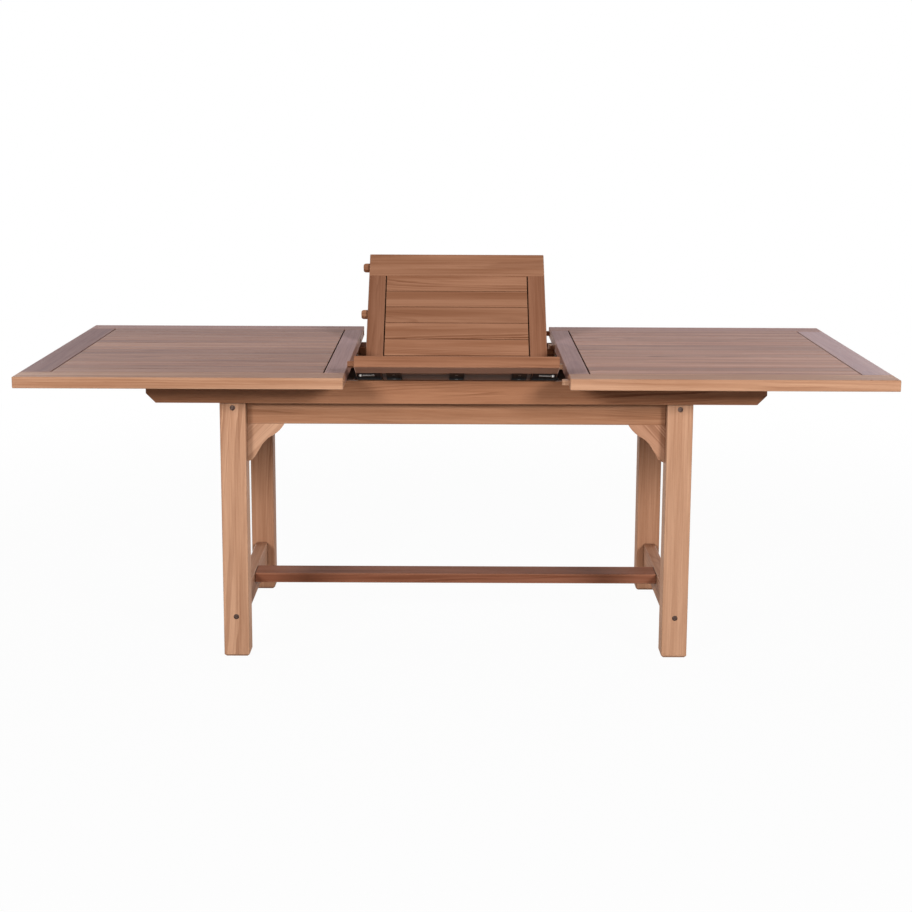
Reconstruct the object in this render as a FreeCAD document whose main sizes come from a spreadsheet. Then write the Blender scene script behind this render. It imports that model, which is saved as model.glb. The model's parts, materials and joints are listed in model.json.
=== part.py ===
import FreeCAD, Part
import math
import os
from types import SimpleNamespace

import Sketcher
from FreeCAD import Placement, Rotation, Vector

# An extending dining table in teak with a butterfly leaf, its two half tops pulled apart and the
# leaf half unfolded in the gap between them.
# Lengths are in millimetres and angles in degrees. X runs along the table, -Y is the front,
# +Z is up, and the origin is on the floor under the middle of the table.

SIZES = {
    # half tops: a frame of rails and stiles round a panel of slats
    "top_height": 750,
    "top_depth": 1000,
    "top_thick": 28,
    "half_length": 800,
    "pull_clearance": 25,
    "rail_width": 83,
    "outer_stile_width": 75,
    "inner_stile_width": 52,
    "slat_count": 14,
    "slat_thick": 20,
    "slat_gap": 1.8,
    "slat_end_gap": 3,
    "slat_ease": 0.7,
    "stile_lip": 14,
    "board_ease": 1.5,
    "batten_count": 3,
    "batten_width": 44,
    "batten_inset": 30,
    # butterfly leaf
    "leaf_width": 500,
    "leaf_stile_width": 48,
    "leaf_batten_width": 36,
    "leaf_batten_inset": 24,
    "leaf_tilt": 41.8,
    "runner_clearance": 5.3,
    "joint_gap": 1,
    "hinge_gap": 1,
    # legs and the rails between them
    "base_length": 1190,
    "base_depth": 700,
    "leg_side": 65,
    "leg_ease": 2.5,
    "foot_bevel": 6,
    "apron_height": 58.5,
    "apron_thick": 25,
    "apron_setback": 25,
    "end_rail_height": 84,
    "end_rail_thick": 32,
    "end_rail_inset": 13,
    "side_stretcher_height": 68,
    "side_stretcher_thick": 32,
    "side_stretcher_inset": 13,
    "stretcher_level": 106,
    "long_stretcher_width": 82,
    "long_stretcher_thick": 26,
    "long_stretcher_drop": 3,
    # ogee corner brackets
    "bracket_width": 95,
    "bracket_drop": 97,
    "bracket_thick": 22,
    "bracket_inset": 1.5,
    # leg bolts, sunk in counterbores
    "bolt_gap": 1,
    "bolt_bore_depth": 6,
    "bolt_head": 12,
    "bolt_head_thick": 4,
    "bolt_socket": 6,
    "bolt_socket_depth": 2.5,
    "top_bolt_drop": 14,
    # runners and the slide bars that run along them
    "runner_length": 1554,
    "runner_thick": 45,
    "runner_height": 57.6,
    "runner_overhang": 10,
    "runner_end_bevel": 24,
    "runner_lip_width": 27,
    "runner_lip_drop": 9.5,
    "groove_height": 14,
    "groove_depth": 12,
    "run_gap": 0.4,
    "slide_gap": 0.5,
    "slide_thick": 20,
    "slide_lap": 6,
    "slide_length": 480,
    "slide_inset": 6,
    # wooden tongues that line up the leaf with the half tops
    "tongue_width": 24,
    "tongue_thick": 12,
    "tongue_proud": 18,
    "tongue_root": 16,
    "tongue_round": 8,
    "tongue_inset": 42,
    "left_rear_tongue": 220,
    "right_rear_tongue": 328,
    "front_tongue": 300,
    "socket_gap": 0.6,
    "socket_spare": 1.5,
    # leaf pivot: a plate and stud on each bearer, an ear on each side of the leaf's rear half
    "bearer_gap": 31,
    "bearer_thick": 30,
    "bearer_height": 48,
    "bearer_lift": 4,
    "pivot_reach": 140,
    "pivot_drop": 55,
    "stud": 12,
    "stud_clearance": 0.05,
    "stud_head": 18,
    "stud_head_thick": 3,
    "plate_width": 44,
    "plate_thick": 6,
    "plate_lift": 5,
    "ear_width": 28,
    "ear_thick": 6,
    "ear_inset": 9,
    "ear_play": 2,
    "flange_thick": 4,
    "flange_length": 90,
    "flange_inset": 3,
    # flush hinges between the leaf's halves
    "hinge_count": 3,
    "hinge_spacing": 170,
    "hinge_rise": 0.6,
    "hinge_length": 60,
    "hinge_knuckle": 30,
    "hinge_leaf": 26,
    "hinge_thick": 2,
    "barrel": 5,
    "barrel_gap": 0.3,
    "hinge_pin": 2.4,
    "pin_play": 0.05,
    # hook latches under the leaf's front edge
    "latch_overhang": 35,
    "latch_inset": 12,
    "latch_reach": 25,
    "latch_width": 4.4,
    "latch_thick": 3,
    "latch_ring": 11,
    "latch_lip": 5,
    "latch_lip_width": 6.7,
    "latch_screw": 4,
    "latch_head": 8,
    "latch_head_thick": 1.5,
    "latch_spacer": 1,
    "latch_post": 4,
    "latch_post_length": 7,
    "latch_gap": 0.3,
    # how far a cut passes beyond the face that it opens
    "overrun": 5,
}

# The ogee bracket's edge, from its tip under the apron to its toe on the leg, as shares of its
# width and drop. The stretches named below are arcs, with radii as shares of the width, positive
# where the edge turns left.
BRACKET_SHARES = ((1.0, 0.0), (0.67, 0.32), (0.37, 0.60), (0.20, 0.88), (0.0, 1.0))
BRACKET_RADIUS_SHARES = {0: 0.85, 1: -0.74, 3: 0.26}

SIDES = (("left", -1), ("right", 1))
FACES = (("front", -1), ("rear", 1))
HALF_TURN = 180
HEXAGON_SIDE_COUNT = 6


class Size:
    """A number that remembers how it is worked out from the sheet's cells."""

    def __init__(self, value, text):
        self.value = value
        self.text = text

    def __add__(self, other):
        other = as_size(other)
        return Size(self.value + other.value, f"({self.text} + {other.text})")

    def __sub__(self, other):
        other = as_size(other)
        return Size(self.value - other.value, f"({self.text} - {other.text})")

    def __mul__(self, other):
        other = as_size(other)
        return Size(self.value * other.value, f"{self.text} * {other.text}")

    def __truediv__(self, other):
        other = as_size(other)
        return Size(self.value / other.value, f"{self.text} / ({other.text})")

    def __neg__(self):
        return Size(-self.value, f"(0 - {self.text})")


def as_size(number):
    """Give a plain count or share the form of a Size."""
    return number if isinstance(number, Size) else Size(number, repr(number))


def sine(angle):
    return Size(math.sin(math.radians(angle.value)), f"sin({angle.text} * 1deg)")


def cosine(angle):
    return Size(math.cos(math.radians(angle.value)), f"cos({angle.text} * 1deg)")


def arc_sine(ratio):
    return Size(math.degrees(math.asin(ratio.value)), f"(asin({ratio.text}) / 1deg)")


def slope(rise, run):
    text = f"(atan2({rise.text}; {run.text}) / 1deg)"
    return Size(math.degrees(math.atan2(rise.value, run.value)), text)


def distance(rise, run):
    return Size(math.hypot(rise.value, run.value), f"sqrt(({rise.text})^2 + ({run.text})^2)")


def signed(sign, size):
    """A distance to the left or front of the middle when sign is negative."""
    return size if sign > 0 else -size


def low_edge(sign, start, width):
    """The lower coordinate of a stretch that begins at start from the middle, on the signed side."""
    return start if sign > 0 else -(start + width)


ZERO = as_size(0)
doc = FreeCAD.newDocument("extending_table")
sheet = doc.addObject("Spreadsheet::Sheet", "Sizes")
for row, (name, number) in enumerate(SIZES.items(), start=1):
    sheet.set(f"A{row}", name)
    sheet.set(f"B{row}", str(number))
    sheet.setAlias(f"B{row}", name)
doc.recompute()
dim = SimpleNamespace(**{name: Size(number, f"Sizes.{name}") for name, number in SIZES.items()})
nodes = []

# Heights and distances from the middle that several pieces share.
half_depth = dim.top_depth / 2
under_top = dim.top_height - dim.top_thick
runner_top = under_top - dim.run_gap
leg_height = runner_top - dim.runner_height
leg_out_x = dim.base_length / 2
leg_out_y = dim.base_depth / 2
leg_in_x = leg_out_x - dim.leg_side
leg_in_y = leg_out_y - dim.leg_side
apron_out_y = leg_out_y - dim.apron_setback
apron_in_y = apron_out_y - dim.apron_thick
apron_low = leg_height - dim.apron_height
runner_out_y = leg_out_y + dim.runner_overhang
runner_in_y = runner_out_y - dim.runner_thick
slat_pitch = (dim.top_depth - dim.rail_width * 2) / dim.slat_count
panel_depth = dim.top_depth - dim.rail_width * 2
half_leaf = dim.leaf_width / 2
pull_out = half_leaf + dim.pull_clearance
groove_rise = (dim.runner_height - dim.runner_lip_drop - dim.groove_height) / 2
slide_height = dim.runner_height + dim.run_gap - groove_rise + dim.slide_lap
latch_y = -(runner_out_y + dim.latch_overhang)
latch_arm = dim.latch_reach + dim.latch_post / 2 + dim.latch_gap + dim.latch_lip_width
bearer_in_x = half_leaf + dim.bearer_gap

# The leaf's halves are drawn flat, about the hinge line between them, and then posed.
leaf_top = -dim.hinge_rise
leaf_under = leaf_top - dim.top_thick
pivot_fall = dim.pivot_drop + dim.hinge_rise
pivot_height = dim.top_height - dim.pivot_drop
hinge_y = dim.pivot_reach - dim.pivot_reach * cosine(dim.leaf_tilt) - pivot_fall * sine(dim.leaf_tilt)
hinge_z = pivot_height - dim.pivot_reach * sine(dim.leaf_tilt) + pivot_fall * cosine(dim.leaf_tilt)

# The front half lies just clear of the upper edge of the front runner's bevel.
edge_run = runner_out_y - dim.runner_thick + dim.runner_lip_width + hinge_y
edge_rise = runner_top - hinge_z
edge_fall = dim.top_thick + dim.hinge_rise + dim.runner_clearance
front_tilt = slope(edge_rise, edge_run) + arc_sine(edge_fall / distance(edge_rise, edge_run))
REAR_POSE = (hinge_y, hinge_z, dim.leaf_tilt)
FRONT_POSE = (hinge_y, hinge_z, -front_tilt)


def bind(thing, path, size):
    thing.setExpression(path, size.text)


def pose_leaf(thing, pose):
    """Turn a piece that is drawn flat about the hinge line, and lift it to the leaf's pose."""
    along, height, angle = pose
    turn = Rotation(Vector(1, 0, 0), angle.value)
    thing.Placement = Placement(Vector(0, along.value, height.value), turn)
    bind(thing, "Placement.Base.y", along)
    bind(thing, "Placement.Base.z", height)
    thing.setExpression("Placement.Rotation.Angle", f"{angle.text} * 1deg")


def keep(thing, node, pose=None):
    """Name a finished piece, pose it and list it for writing."""
    thing.Label = node
    if pose:
        pose_leaf(thing, pose)
    nodes.append(thing)
    return thing


def arc_between(start, end, radius):
    """An arc of a circle from start to end, turning left for a positive radius."""
    first, last = (start, end) if radius > 0 else (end, start)
    chord = last - first
    half = chord.Length / 2
    reach = math.sqrt(max(radius * radius - half * half, 0))
    left = Vector(-chord.y, chord.x, 0).normalize()
    centre = (first + last) * 0.5 + left * reach
    begin = math.atan2(first.y - centre.y, first.x - centre.x)
    finish = math.atan2(last.y - centre.y, last.x - centre.x)
    return Part.ArcOfCircle(Part.Circle(centre, Vector(0, 0, 1), abs(radius)), begin, finish)


def draw_outline(sketch, points, arcs):
    """Draw a closed outline whose corners, and the radii of its arcs, follow the sheet."""
    count = len(points)
    places = [Vector(across.value, up.value, 0) for across, up in points]
    starts = []
    for i in range(count):
        start, end = places[i], places[(i + 1) % count]
        radius = arcs.get(i)
        backwards = radius is not None and radius.value < 0
        starts.append(2 if backwards else 1)
        line = arc_between(start, end, radius.value) if radius else Part.LineSegment(start, end)
        sketch.addGeometry(line)
    for i in range(count):
        following = (i + 1) % count
        end = 3 - starts[i]
        sketch.addConstraint(Sketcher.Constraint("Coincident", i, end, following, starts[following]))
    for i, corner in enumerate(points):
        for kind, axis, size in (("DistanceX", -2, corner[0]), ("DistanceY", -1, corner[1])):
            if size.text == ZERO.text:
                sketch.addConstraint(Sketcher.Constraint("PointOnObject", i, starts[i], axis))
            else:
                rule = Sketcher.Constraint(kind, -1, 1, i, starts[i], size.value)
                bind(sketch, f"Constraints[{sketch.addConstraint(rule)}]", size)
    for i, radius in arcs.items():
        rule = Sketcher.Constraint("Radius", i, abs(radius.value))
        size = radius if radius.value > 0 else -radius
        bind(sketch, f"Constraints[{sketch.addConstraint(rule)}]", size)


def extrusion(label, plane, corner, points, length, arcs=None):
    """A body with one outline, drawn on XY, XZ or YZ from a corner, and padded towards +Z, +Y or +X."""
    body = doc.addObject("PartDesign::Body", label)
    base = next(item for item in body.Origin.OriginFeatures if item.Role == f"{plane}_Plane")
    sketch = body.newObject("Sketcher::SketchObject", f"{label}_outline")
    sketch.AttachmentSupport = [(base, "")]
    sketch.MapMode = "FlatFace"
    x, y, z = corner
    offsets = {"XY": (x, y, z), "XZ": (x, z, -y), "YZ": (y, z, x)}[plane]
    for axis, offset in zip("xyz", offsets):
        bind(sketch, f"AttachmentOffset.Base.{axis}", offset)
    draw_outline(sketch, points, arcs or {})
    pad = body.newObject("PartDesign::Pad", f"{label}_pad")
    pad.Profile = sketch
    pad.Reversed = plane == "XZ"
    bind(pad, "Length", length)
    return body


def rectangle(width, height):
    return ((ZERO, ZERO), (width, ZERO), (width, height), (ZERO, height))


def ease_edges(body, size, wanted=None, kind="Chamfer"):
    """Bevel or round the edges that wanted picks, or every edge."""
    doc.recompute()
    last = body.Tip
    numbered = enumerate(last.Shape.Edges, start=1)
    picked = [f"Edge{i}" for i, edge in numbered if not wanted or wanted(edge)]
    feature = body.newObject(f"PartDesign::{kind}", f"{body.Name}_{kind.lower()}")
    feature.Base = (last, picked)
    bind(feature, "Size" if kind == "Chamfer" else "Radius", size)
    return body


def board(label, corner, size, ease=dim.board_ease):
    """A sawn board with every edge eased."""
    width, depth, height = size
    body = extrusion(label, "XY", corner, rectangle(width, depth), height)
    return ease_edges(body, ease) if ease else body


def block(corner, size):
    """A plain block, used to cut a recess or to build up a fitting."""
    box = doc.addObject("Part::Box", "block")
    for name, length in zip(("Length", "Width", "Height"), size):
        bind(box, name, length)
    for axis, place in zip("xyz", corner):
        bind(box, f"Placement.Base.{axis}", place)
    return box


def rod(centre, direction, diameter, length):
    """A round bar from centre along +X, +Y or +Z."""
    turns = {"X": Rotation(Vector(0, 1, 0), 90), "Y": Rotation(Vector(1, 0, 0), -90), "Z": Rotation()}
    bar = doc.addObject("Part::Cylinder", "rod")
    bar.Placement = Placement(Vector(0, 0, 0), turns[direction])
    bind(bar, "Radius", diameter / 2)
    bind(bar, "Height", length)
    for axis, place in zip("xyz", centre):
        bind(bar, f"Placement.Base.{axis}", place)
    return bar


def hexagon_bar(centre, across, length):
    """A six-sided bar from centre along +Y, across wide over its corners."""
    bar = doc.addObject("Part::Prism", "hexagon_bar")
    bar.Polygon = HEXAGON_SIDE_COUNT
    bar.Placement = Placement(Vector(0, 0, 0), Rotation(Vector(1, 0, 0), -90))
    bind(bar, "Circumradius", across / 2)
    bind(bar, "Height", length)
    for axis, place in zip("xyz", centre):
        bind(bar, f"Placement.Base.{axis}", place)
    return bar


def group(members, label="group"):
    """Several separate solids held as one piece."""
    holder = doc.addObject("Part::Compound", label)
    holder.Links = members
    return holder


def joined(members, label="joined"):
    """Blocks and rods made into one solid."""
    union = doc.addObject("Part::MultiFuse", label)
    union.Shapes = members
    return union


def less(body, tools, label="cut"):
    """A piece with recesses cut out of it."""
    cut = doc.addObject("Part::Cut", label)
    cut.Base = body
    cut.Tool = tools[0] if len(tools) == 1 else group(tools)
    return cut


def repeated(body, sketch_axis, span, count):
    """Repeat a padded piece evenly over a span, so that the body holds that many separate solids."""
    doc.recompute()
    pad = body.Tip
    pattern = body.newObject("PartDesign::LinearPattern", f"{body.Name}_pattern")
    pattern.Originals = [pad]
    pattern.Direction = (pad.Profile[0], [sketch_axis])
    bind(pattern, "Length", span)
    bind(pattern, "Occurrences", count)
    body.Tip = pattern
    return body


def turn_about(thing):
    """Turn a piece half round about the table's middle."""
    thing.Placement = Placement(Vector(0, 0, 0), Rotation(Vector(0, 0, 1), HALF_TURN))
    return thing


def make_legs():
    """Square legs with bevelled feet and two counterbored bolts each."""
    bolts = []
    for face, front in FACES:
        for side, way in SIDES:
            node = f"leg_{face}_{side}"
            corner = (low_edge(way, leg_in_x, dim.leg_side), low_edge(front, leg_in_y, dim.leg_side), ZERO)
            size = (dim.leg_side, dim.leg_side, leg_height)
            blank = board(f"{node}_blank", corner, size, ease=None)
            ease_edges(blank, dim.foot_bevel, lambda edge: edge.BoundBox.ZMax < dim.foot_bevel.value)
            tall = leg_height.value / 2
            ease_edges(blank, dim.leg_ease, lambda edge: edge.BoundBox.ZLength > tall, kind="Fillet")
            middle = signed(way, leg_in_x + dim.leg_side / 2)
            bores = []
            for height in (leg_height - dim.top_bolt_drop, dim.stretcher_level):
                floor = leg_out_y - dim.bolt_bore_depth
                length = dim.bolt_bore_depth + dim.overrun
                bore = dim.bolt_head + dim.bolt_gap * 2
                bores.append(rod((middle, low_edge(front, floor, length), height), "Y", bore, length))
                head_y = low_edge(front, floor, dim.bolt_head_thick)
                head = rod((middle, head_y, height), "Y", dim.bolt_head, dim.bolt_head_thick)
                socket_floor = floor + dim.bolt_head_thick - dim.bolt_socket_depth
                deep = dim.bolt_socket_depth + dim.overrun
                socket_y = low_edge(front, socket_floor, deep)
                bolts.append(less(head, [hexagon_bar((middle, socket_y, height), dim.bolt_socket, deep)]))
            keep(less(blank, bores), node)
    keep(group(bolts), "leg_bolts")


def make_rails():
    """Aprons along the front and rear, end rails and stretchers."""
    long_span = leg_in_x * 2
    cross_span = leg_in_y * 2
    for face, front in FACES:
        node = f"apron_{face}"
        corner = (-leg_in_x, low_edge(front, apron_in_y, dim.apron_thick), apron_low)
        keep(board(node, corner, (long_span, dim.apron_thick, dim.apron_height)), node)
    stretcher_low = dim.stretcher_level - dim.side_stretcher_height / 2
    stretcher_in = leg_out_x - dim.side_stretcher_inset - dim.side_stretcher_thick
    end_rail_in = leg_out_x - dim.end_rail_inset - dim.end_rail_thick
    for side, way in SIDES:
        corner = (low_edge(way, end_rail_in, dim.end_rail_thick), -leg_in_y, apron_low)
        size = (dim.end_rail_thick, cross_span, dim.end_rail_height)
        keep(board(f"end_rail_{side}", corner, size), f"end_rail_{side}")
        corner = (low_edge(way, stretcher_in, dim.side_stretcher_thick), -leg_in_y, stretcher_low)
        size = (dim.side_stretcher_thick, cross_span, dim.side_stretcher_height)
        keep(board(f"side_stretcher_{side}", corner, size), f"side_stretcher_{side}")
    top = stretcher_low + dim.side_stretcher_height - dim.long_stretcher_drop
    corner = (-stretcher_in, -(dim.long_stretcher_width / 2), top - dim.long_stretcher_thick)
    size = (stretcher_in * 2, dim.long_stretcher_width, dim.long_stretcher_thick)
    keep(board("long_stretcher", corner, size), "long_stretcher")


def make_brackets():
    """Ogee brackets in the corners between the legs and the aprons."""
    edge = [(dim.bracket_width * wide, dim.bracket_drop * (1 - down)) for wide, down in BRACKET_SHARES]
    corner_point = (ZERO, dim.bracket_drop)
    radii = {i: dim.bracket_width * share for i, share in BRACKET_RADIUS_SHARES.items()}
    for face, front in FACES:
        back = apron_out_y - dim.bracket_inset - dim.bracket_thick
        for side, way in SIDES:
            node = f"bracket_{face}_{side}"
            if way < 0:
                points = [(across if i < len(edge) - 1 else ZERO, up if i < len(edge) - 1 else ZERO)
                          for i, (across, up) in enumerate(edge)]
                points.append(corner_point)
                arcs = {i: -radius for i, radius in radii.items()}
            else:
                points = [(dim.bracket_width - across, up) for across, up in edge]
                points[0] = (ZERO, dim.bracket_drop)
                points[-1] = (dim.bracket_width, ZERO)
                points.append((dim.bracket_width, dim.bracket_drop))
                arcs = radii
            low = apron_low - dim.bracket_drop
            near = low_edge(way, leg_in_x - dim.bracket_width, dim.bracket_width)
            corner = (near, low_edge(front, back, dim.bracket_thick), low)
            keep(extrusion(node, "XZ", corner, points, dim.bracket_thick, arcs), node)


def make_runners():
    """Long rails on top of the legs, grooved inside for the slides and bevelled for the leaf."""
    height = dim.runner_height
    groove_floor = dim.runner_thick - dim.groove_depth
    groove_top = groove_rise + dim.groove_height
    section = (
        (ZERO, ZERO), (dim.runner_thick, ZERO),
        (dim.runner_thick, groove_rise), (groove_floor, groove_rise),
        (groove_floor, groove_top), (dim.runner_thick, groove_top),
        (dim.runner_thick, height - dim.runner_lip_drop),
        (dim.runner_thick - dim.runner_lip_width, height), (ZERO, height),
    )
    half_runner = dim.runner_length / 2
    corner = (-half_runner, -runner_out_y, leg_height)
    wedge = dim.runner_end_bevel + dim.overrun * 2
    wedge_start = half_runner + dim.overrun - wedge
    for face, front in FACES:
        blank = extrusion(f"runner_{face}_blank", "YZ", corner, section, dim.runner_length)
        bevels = []
        for side, way in SIDES:
            tip = (wedge, wedge) if way > 0 else (ZERO, wedge)
            wedge_x = low_edge(way, wedge_start, wedge)
            wedge_at = (wedge_x, -(runner_out_y + dim.overrun), leg_height - dim.overrun)
            outline = ((ZERO, ZERO), (wedge, ZERO), tip)
            bevels.append(extrusion("bevel", "XZ", wedge_at, outline, dim.runner_thick + dim.overrun * 2))
        runner = less(blank, bevels)
        keep(runner if front < 0 else turn_about(runner), f"runner_{face}")


def make_bearers():
    """Cross bars beside the leaf, with the plates and studs that carry its pivot."""
    low = apron_low + dim.bearer_lift
    for side, way in SIDES:
        corner = (low_edge(way, bearer_in_x, dim.bearer_thick), -apron_in_y, low)
        size = (dim.bearer_thick, apron_in_y * 2, dim.bearer_height)
        keep(board(f"bearer_{side}", corner, size), f"bearer_{side}")
        plate_low = low + dim.plate_lift
        plate_in = bearer_in_x - dim.plate_thick
        plate_x = low_edge(way, plate_in, dim.plate_thick)
        plate = block((plate_x, dim.pivot_reach - dim.plate_width / 2, plate_low),
                      (dim.plate_thick, dim.plate_width, pivot_height - plate_low))
        plate_end = rod((plate_x, dim.pivot_reach, pivot_height), "X", dim.plate_width, dim.plate_thick)
        ear_in = half_leaf - dim.ear_inset - dim.ear_thick
        stud_in = ear_in - dim.ear_play
        length = plate_in - stud_in
        stud = rod((low_edge(way, stud_in, length), dim.pivot_reach, pivot_height), "X", dim.stud, length)
        head_in = stud_in - dim.stud_head_thick
        head_at = (low_edge(way, head_in, dim.stud_head_thick), dim.pivot_reach, pivot_height)
        head = rod(head_at, "X", dim.stud_head, dim.stud_head_thick)
        keep(joined([plate, plate_end, stud, head]), f"pivot_plate_{side}")


def tongue(tip_x, middle_y, middle_z):
    """A wooden tongue with a rounded tip towards -X."""
    length = dim.tongue_proud + dim.tongue_root
    far = dim.tongue_width - dim.tongue_round
    points = (
        (dim.tongue_round, ZERO), (length, ZERO), (length, dim.tongue_width),
        (dim.tongue_round, dim.tongue_width), (ZERO, far), (ZERO, dim.tongue_round),
    )
    arcs = {3: dim.tongue_round, 5: dim.tongue_round}
    corner = (tip_x, middle_y - dim.tongue_width / 2, middle_z - dim.tongue_thick / 2)
    return extrusion("tongue", "XY", corner, points, dim.tongue_thick, arcs)


def tongue_recess(edge_x, way, middle_y, middle_z, depth, play):
    """A mortise for a tongue, cut depth deep into an edge that faces left or right."""
    width = dim.tongue_width + play * 2
    height = dim.tongue_thick + play * 2
    length = depth + dim.overrun
    start = edge_x - depth if way > 0 else edge_x - dim.overrun
    return block((start, middle_y - width / 2, middle_z - height / 2), (length, width, height))


def socket(edge_x, way, middle_y, middle_z):
    """An open mortise that a tongue slides into."""
    depth = dim.tongue_proud + dim.socket_spare
    return tongue_recess(edge_x, way, middle_y, middle_z, depth, dim.socket_gap)


def root(edge_x, way, middle_y, middle_z):
    """A mortise that holds a tongue's glued root."""
    return tongue_recess(edge_x, way, middle_y, middle_z, dim.tongue_root, ZERO)


def make_slats(label, start_x, length, start_y, count, top):
    """A panel of slats along X, each with its upper edges eased."""
    width = slat_pitch - dim.slat_gap
    shoulder = dim.slat_thick - dim.slat_ease
    section = (
        (ZERO, ZERO), (width, ZERO), (width, shoulder), (width - dim.slat_ease, dim.slat_thick),
        (dim.slat_ease, dim.slat_thick), (ZERO, shoulder),
    )
    corner = (start_x, start_y + dim.slat_gap / 2, top - dim.slat_thick)
    body = extrusion(label, "YZ", corner, section, length)
    return repeated(body, "H_Axis", slat_pitch * (count - 1), count)


def with_lip(stile, edge_x, start_y, length, low):
    """A stile with a lip at its inner edge that carries the slats' ends."""
    corner = (edge_x - dim.stile_lip, start_y, low)
    lip = block(corner, (dim.stile_lip * 2, length, dim.top_thick - dim.slat_thick))
    return joined([stile, lip])


def make_battens(label, start_x, span, width, start_y, length, top):
    """Flat bars under a panel of slats, from rail to rail."""
    corner = (start_x, start_y, top - dim.top_thick)
    body = extrusion(label, "XY", corner, rectangle(width, length), dim.top_thick - dim.slat_thick)
    return repeated(body, "H_Axis", span - width, dim.batten_count)


def make_slide_bars(way):
    """Bars under a half top whose tongues run in the grooves of the runners."""
    tongue_low = leg_height + groove_rise + dim.slide_gap - (under_top - slide_height)
    tongue_top = tongue_low + dim.groove_height - dim.slide_gap * 2
    wide = dim.groove_depth + dim.slide_thick
    section = (
        (ZERO, tongue_low), (dim.groove_depth, tongue_low), (dim.groove_depth, ZERO), (wide, ZERO),
        (wide, slide_height), (dim.groove_depth, slide_height),
        (dim.groove_depth, tongue_top), (ZERO, tongue_top),
    )
    start_y = -(runner_in_y - dim.slide_gap + dim.groove_depth)
    bars = []
    for turned in (False, True):
        start_x = low_edge(-way if turned else way, pull_out + dim.slide_inset, dim.slide_length)
        corner = (start_x, start_y, under_top - slide_height)
        bar = extrusion("slide_bar", "YZ", corner, section, dim.slide_length)
        bars.append(turn_about(bar) if turned else bar)
    return group(bars)


def make_half_top(side, way):
    """One half of the top: frame, slats, battens, slide bars and the latch's post."""
    low = under_top
    inner_edge = signed(way, pull_out)
    middle_z = dim.top_height - dim.top_thick / 2
    mortise = root if way > 0 else socket
    rear_tongue = dim.right_rear_tongue if way > 0 else dim.left_rear_tongue
    rail_x = low_edge(way, pull_out, dim.half_length)
    rail_size = (dim.half_length, dim.rail_width, dim.top_thick)
    for face, front in FACES:
        node = f"{side}_{face}_rail"
        corner = (rail_x, low_edge(front, half_depth - dim.rail_width, dim.rail_width), low)
        blank = board(f"{node}_blank", corner, rail_size)
        place = signed(front, half_depth - dim.tongue_inset)
        keep(less(blank, [mortise(inner_edge, -way, place, middle_z)]), node)
    stile_y = dim.rail_width - half_depth
    outer_start = pull_out + dim.half_length - dim.outer_stile_width
    corner = (low_edge(way, outer_start, dim.outer_stile_width), stile_y, low)
    size = (dim.outer_stile_width, panel_depth, dim.top_thick)
    blank = board(f"{side}_outer_stile_blank", corner, size)
    keep(with_lip(blank, signed(way, outer_start), stile_y, panel_depth, low), f"{side}_outer_stile")
    corner = (low_edge(way, pull_out, dim.inner_stile_width), stile_y, low)
    size = (dim.inner_stile_width, panel_depth, dim.top_thick)
    blank = board(f"{side}_inner_stile_blank", corner, size)
    blank = with_lip(blank, signed(way, pull_out + dim.inner_stile_width), stile_y, panel_depth, low)
    places = (half_depth - rear_tongue, dim.front_tongue - half_depth)
    keep(less(blank, [mortise(inner_edge, -way, y, middle_z) for y in places]), f"{side}_inner_stile")
    slat_start = pull_out + dim.inner_stile_width + dim.slat_end_gap
    slat_length = outer_start - dim.slat_end_gap - slat_start
    slat_x = low_edge(way, slat_start, slat_length)
    node = f"{side}_slats"
    keep(make_slats(node, slat_x, slat_length, stile_y, dim.slat_count, dim.top_height), node)
    batten_start = slat_start + dim.batten_inset
    batten_span = slat_length - dim.batten_inset * 2
    batten_x = low_edge(way, batten_start, batten_span)
    node = f"{side}_battens"
    bars = make_battens(node, batten_x, batten_span, dim.batten_width, stile_y, panel_depth, dim.top_height)
    keep(bars, node)
    keep(make_slide_bars(way), f"{side}_slide_bars")
    post_x = signed(way, pull_out + dim.latch_reach - dim.latch_inset - dim.joint_gap)
    beside = (dim.latch_width + dim.latch_post) / 2 + dim.latch_gap
    post_at = (post_x, latch_y + beside, under_top - dim.latch_post_length)
    keep(rod(post_at, "Z", dim.latch_post, dim.latch_post_length), f"{side}_latch_post")
    if way > 0:
        tip = pull_out - dim.tongue_proud
        rows = [signed(front, half_depth - dim.tongue_inset) for face, front in FACES]
        keep(group([tongue(tip, y, middle_z) for y in (*rows, *places)]), f"{side}_tongues")


def make_hinge_part(front, middle_x):
    """One leaf of a flush hinge with its share of the knuckles, the pin riveted in the rear one."""
    reach = dim.barrel / 2 + dim.barrel_gap
    start_x = middle_x - dim.hinge_length / 2
    plate_width = dim.hinge_leaf - reach
    plate_low = leaf_top - dim.hinge_thick
    plate_y = low_edge(front, reach, plate_width)
    pieces = [block((start_x, plate_y, plate_low), (dim.hinge_length, plate_width, dim.hinge_thick))]
    end_length = (dim.hinge_length - dim.hinge_knuckle) / 2 - dim.barrel_gap
    far_x = start_x + dim.hinge_length - end_length
    knuckles = ((start_x, end_length), (far_x, end_length))
    if front < 0:
        knuckles = ((middle_x - dim.hinge_knuckle / 2, dim.hinge_knuckle),)
    for knuckle_x, length in knuckles:
        neck_at = (knuckle_x, low_edge(front, ZERO, reach), plate_low)
        pieces.append(block(neck_at, (length, reach, dim.hinge_thick)))
        pieces.append(rod((knuckle_x, ZERO, ZERO), "X", dim.barrel, length))
    if front > 0:
        return joined(pieces + [rod((start_x, ZERO, ZERO), "X", dim.hinge_pin, dim.hinge_length)])
    bore = dim.hinge_pin + dim.pin_play * 2
    bore_at = (start_x - dim.overrun, ZERO, ZERO)
    return less(joined(pieces), [rod(bore_at, "X", bore, dim.hinge_length + dim.overrun * 2)])


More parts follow.
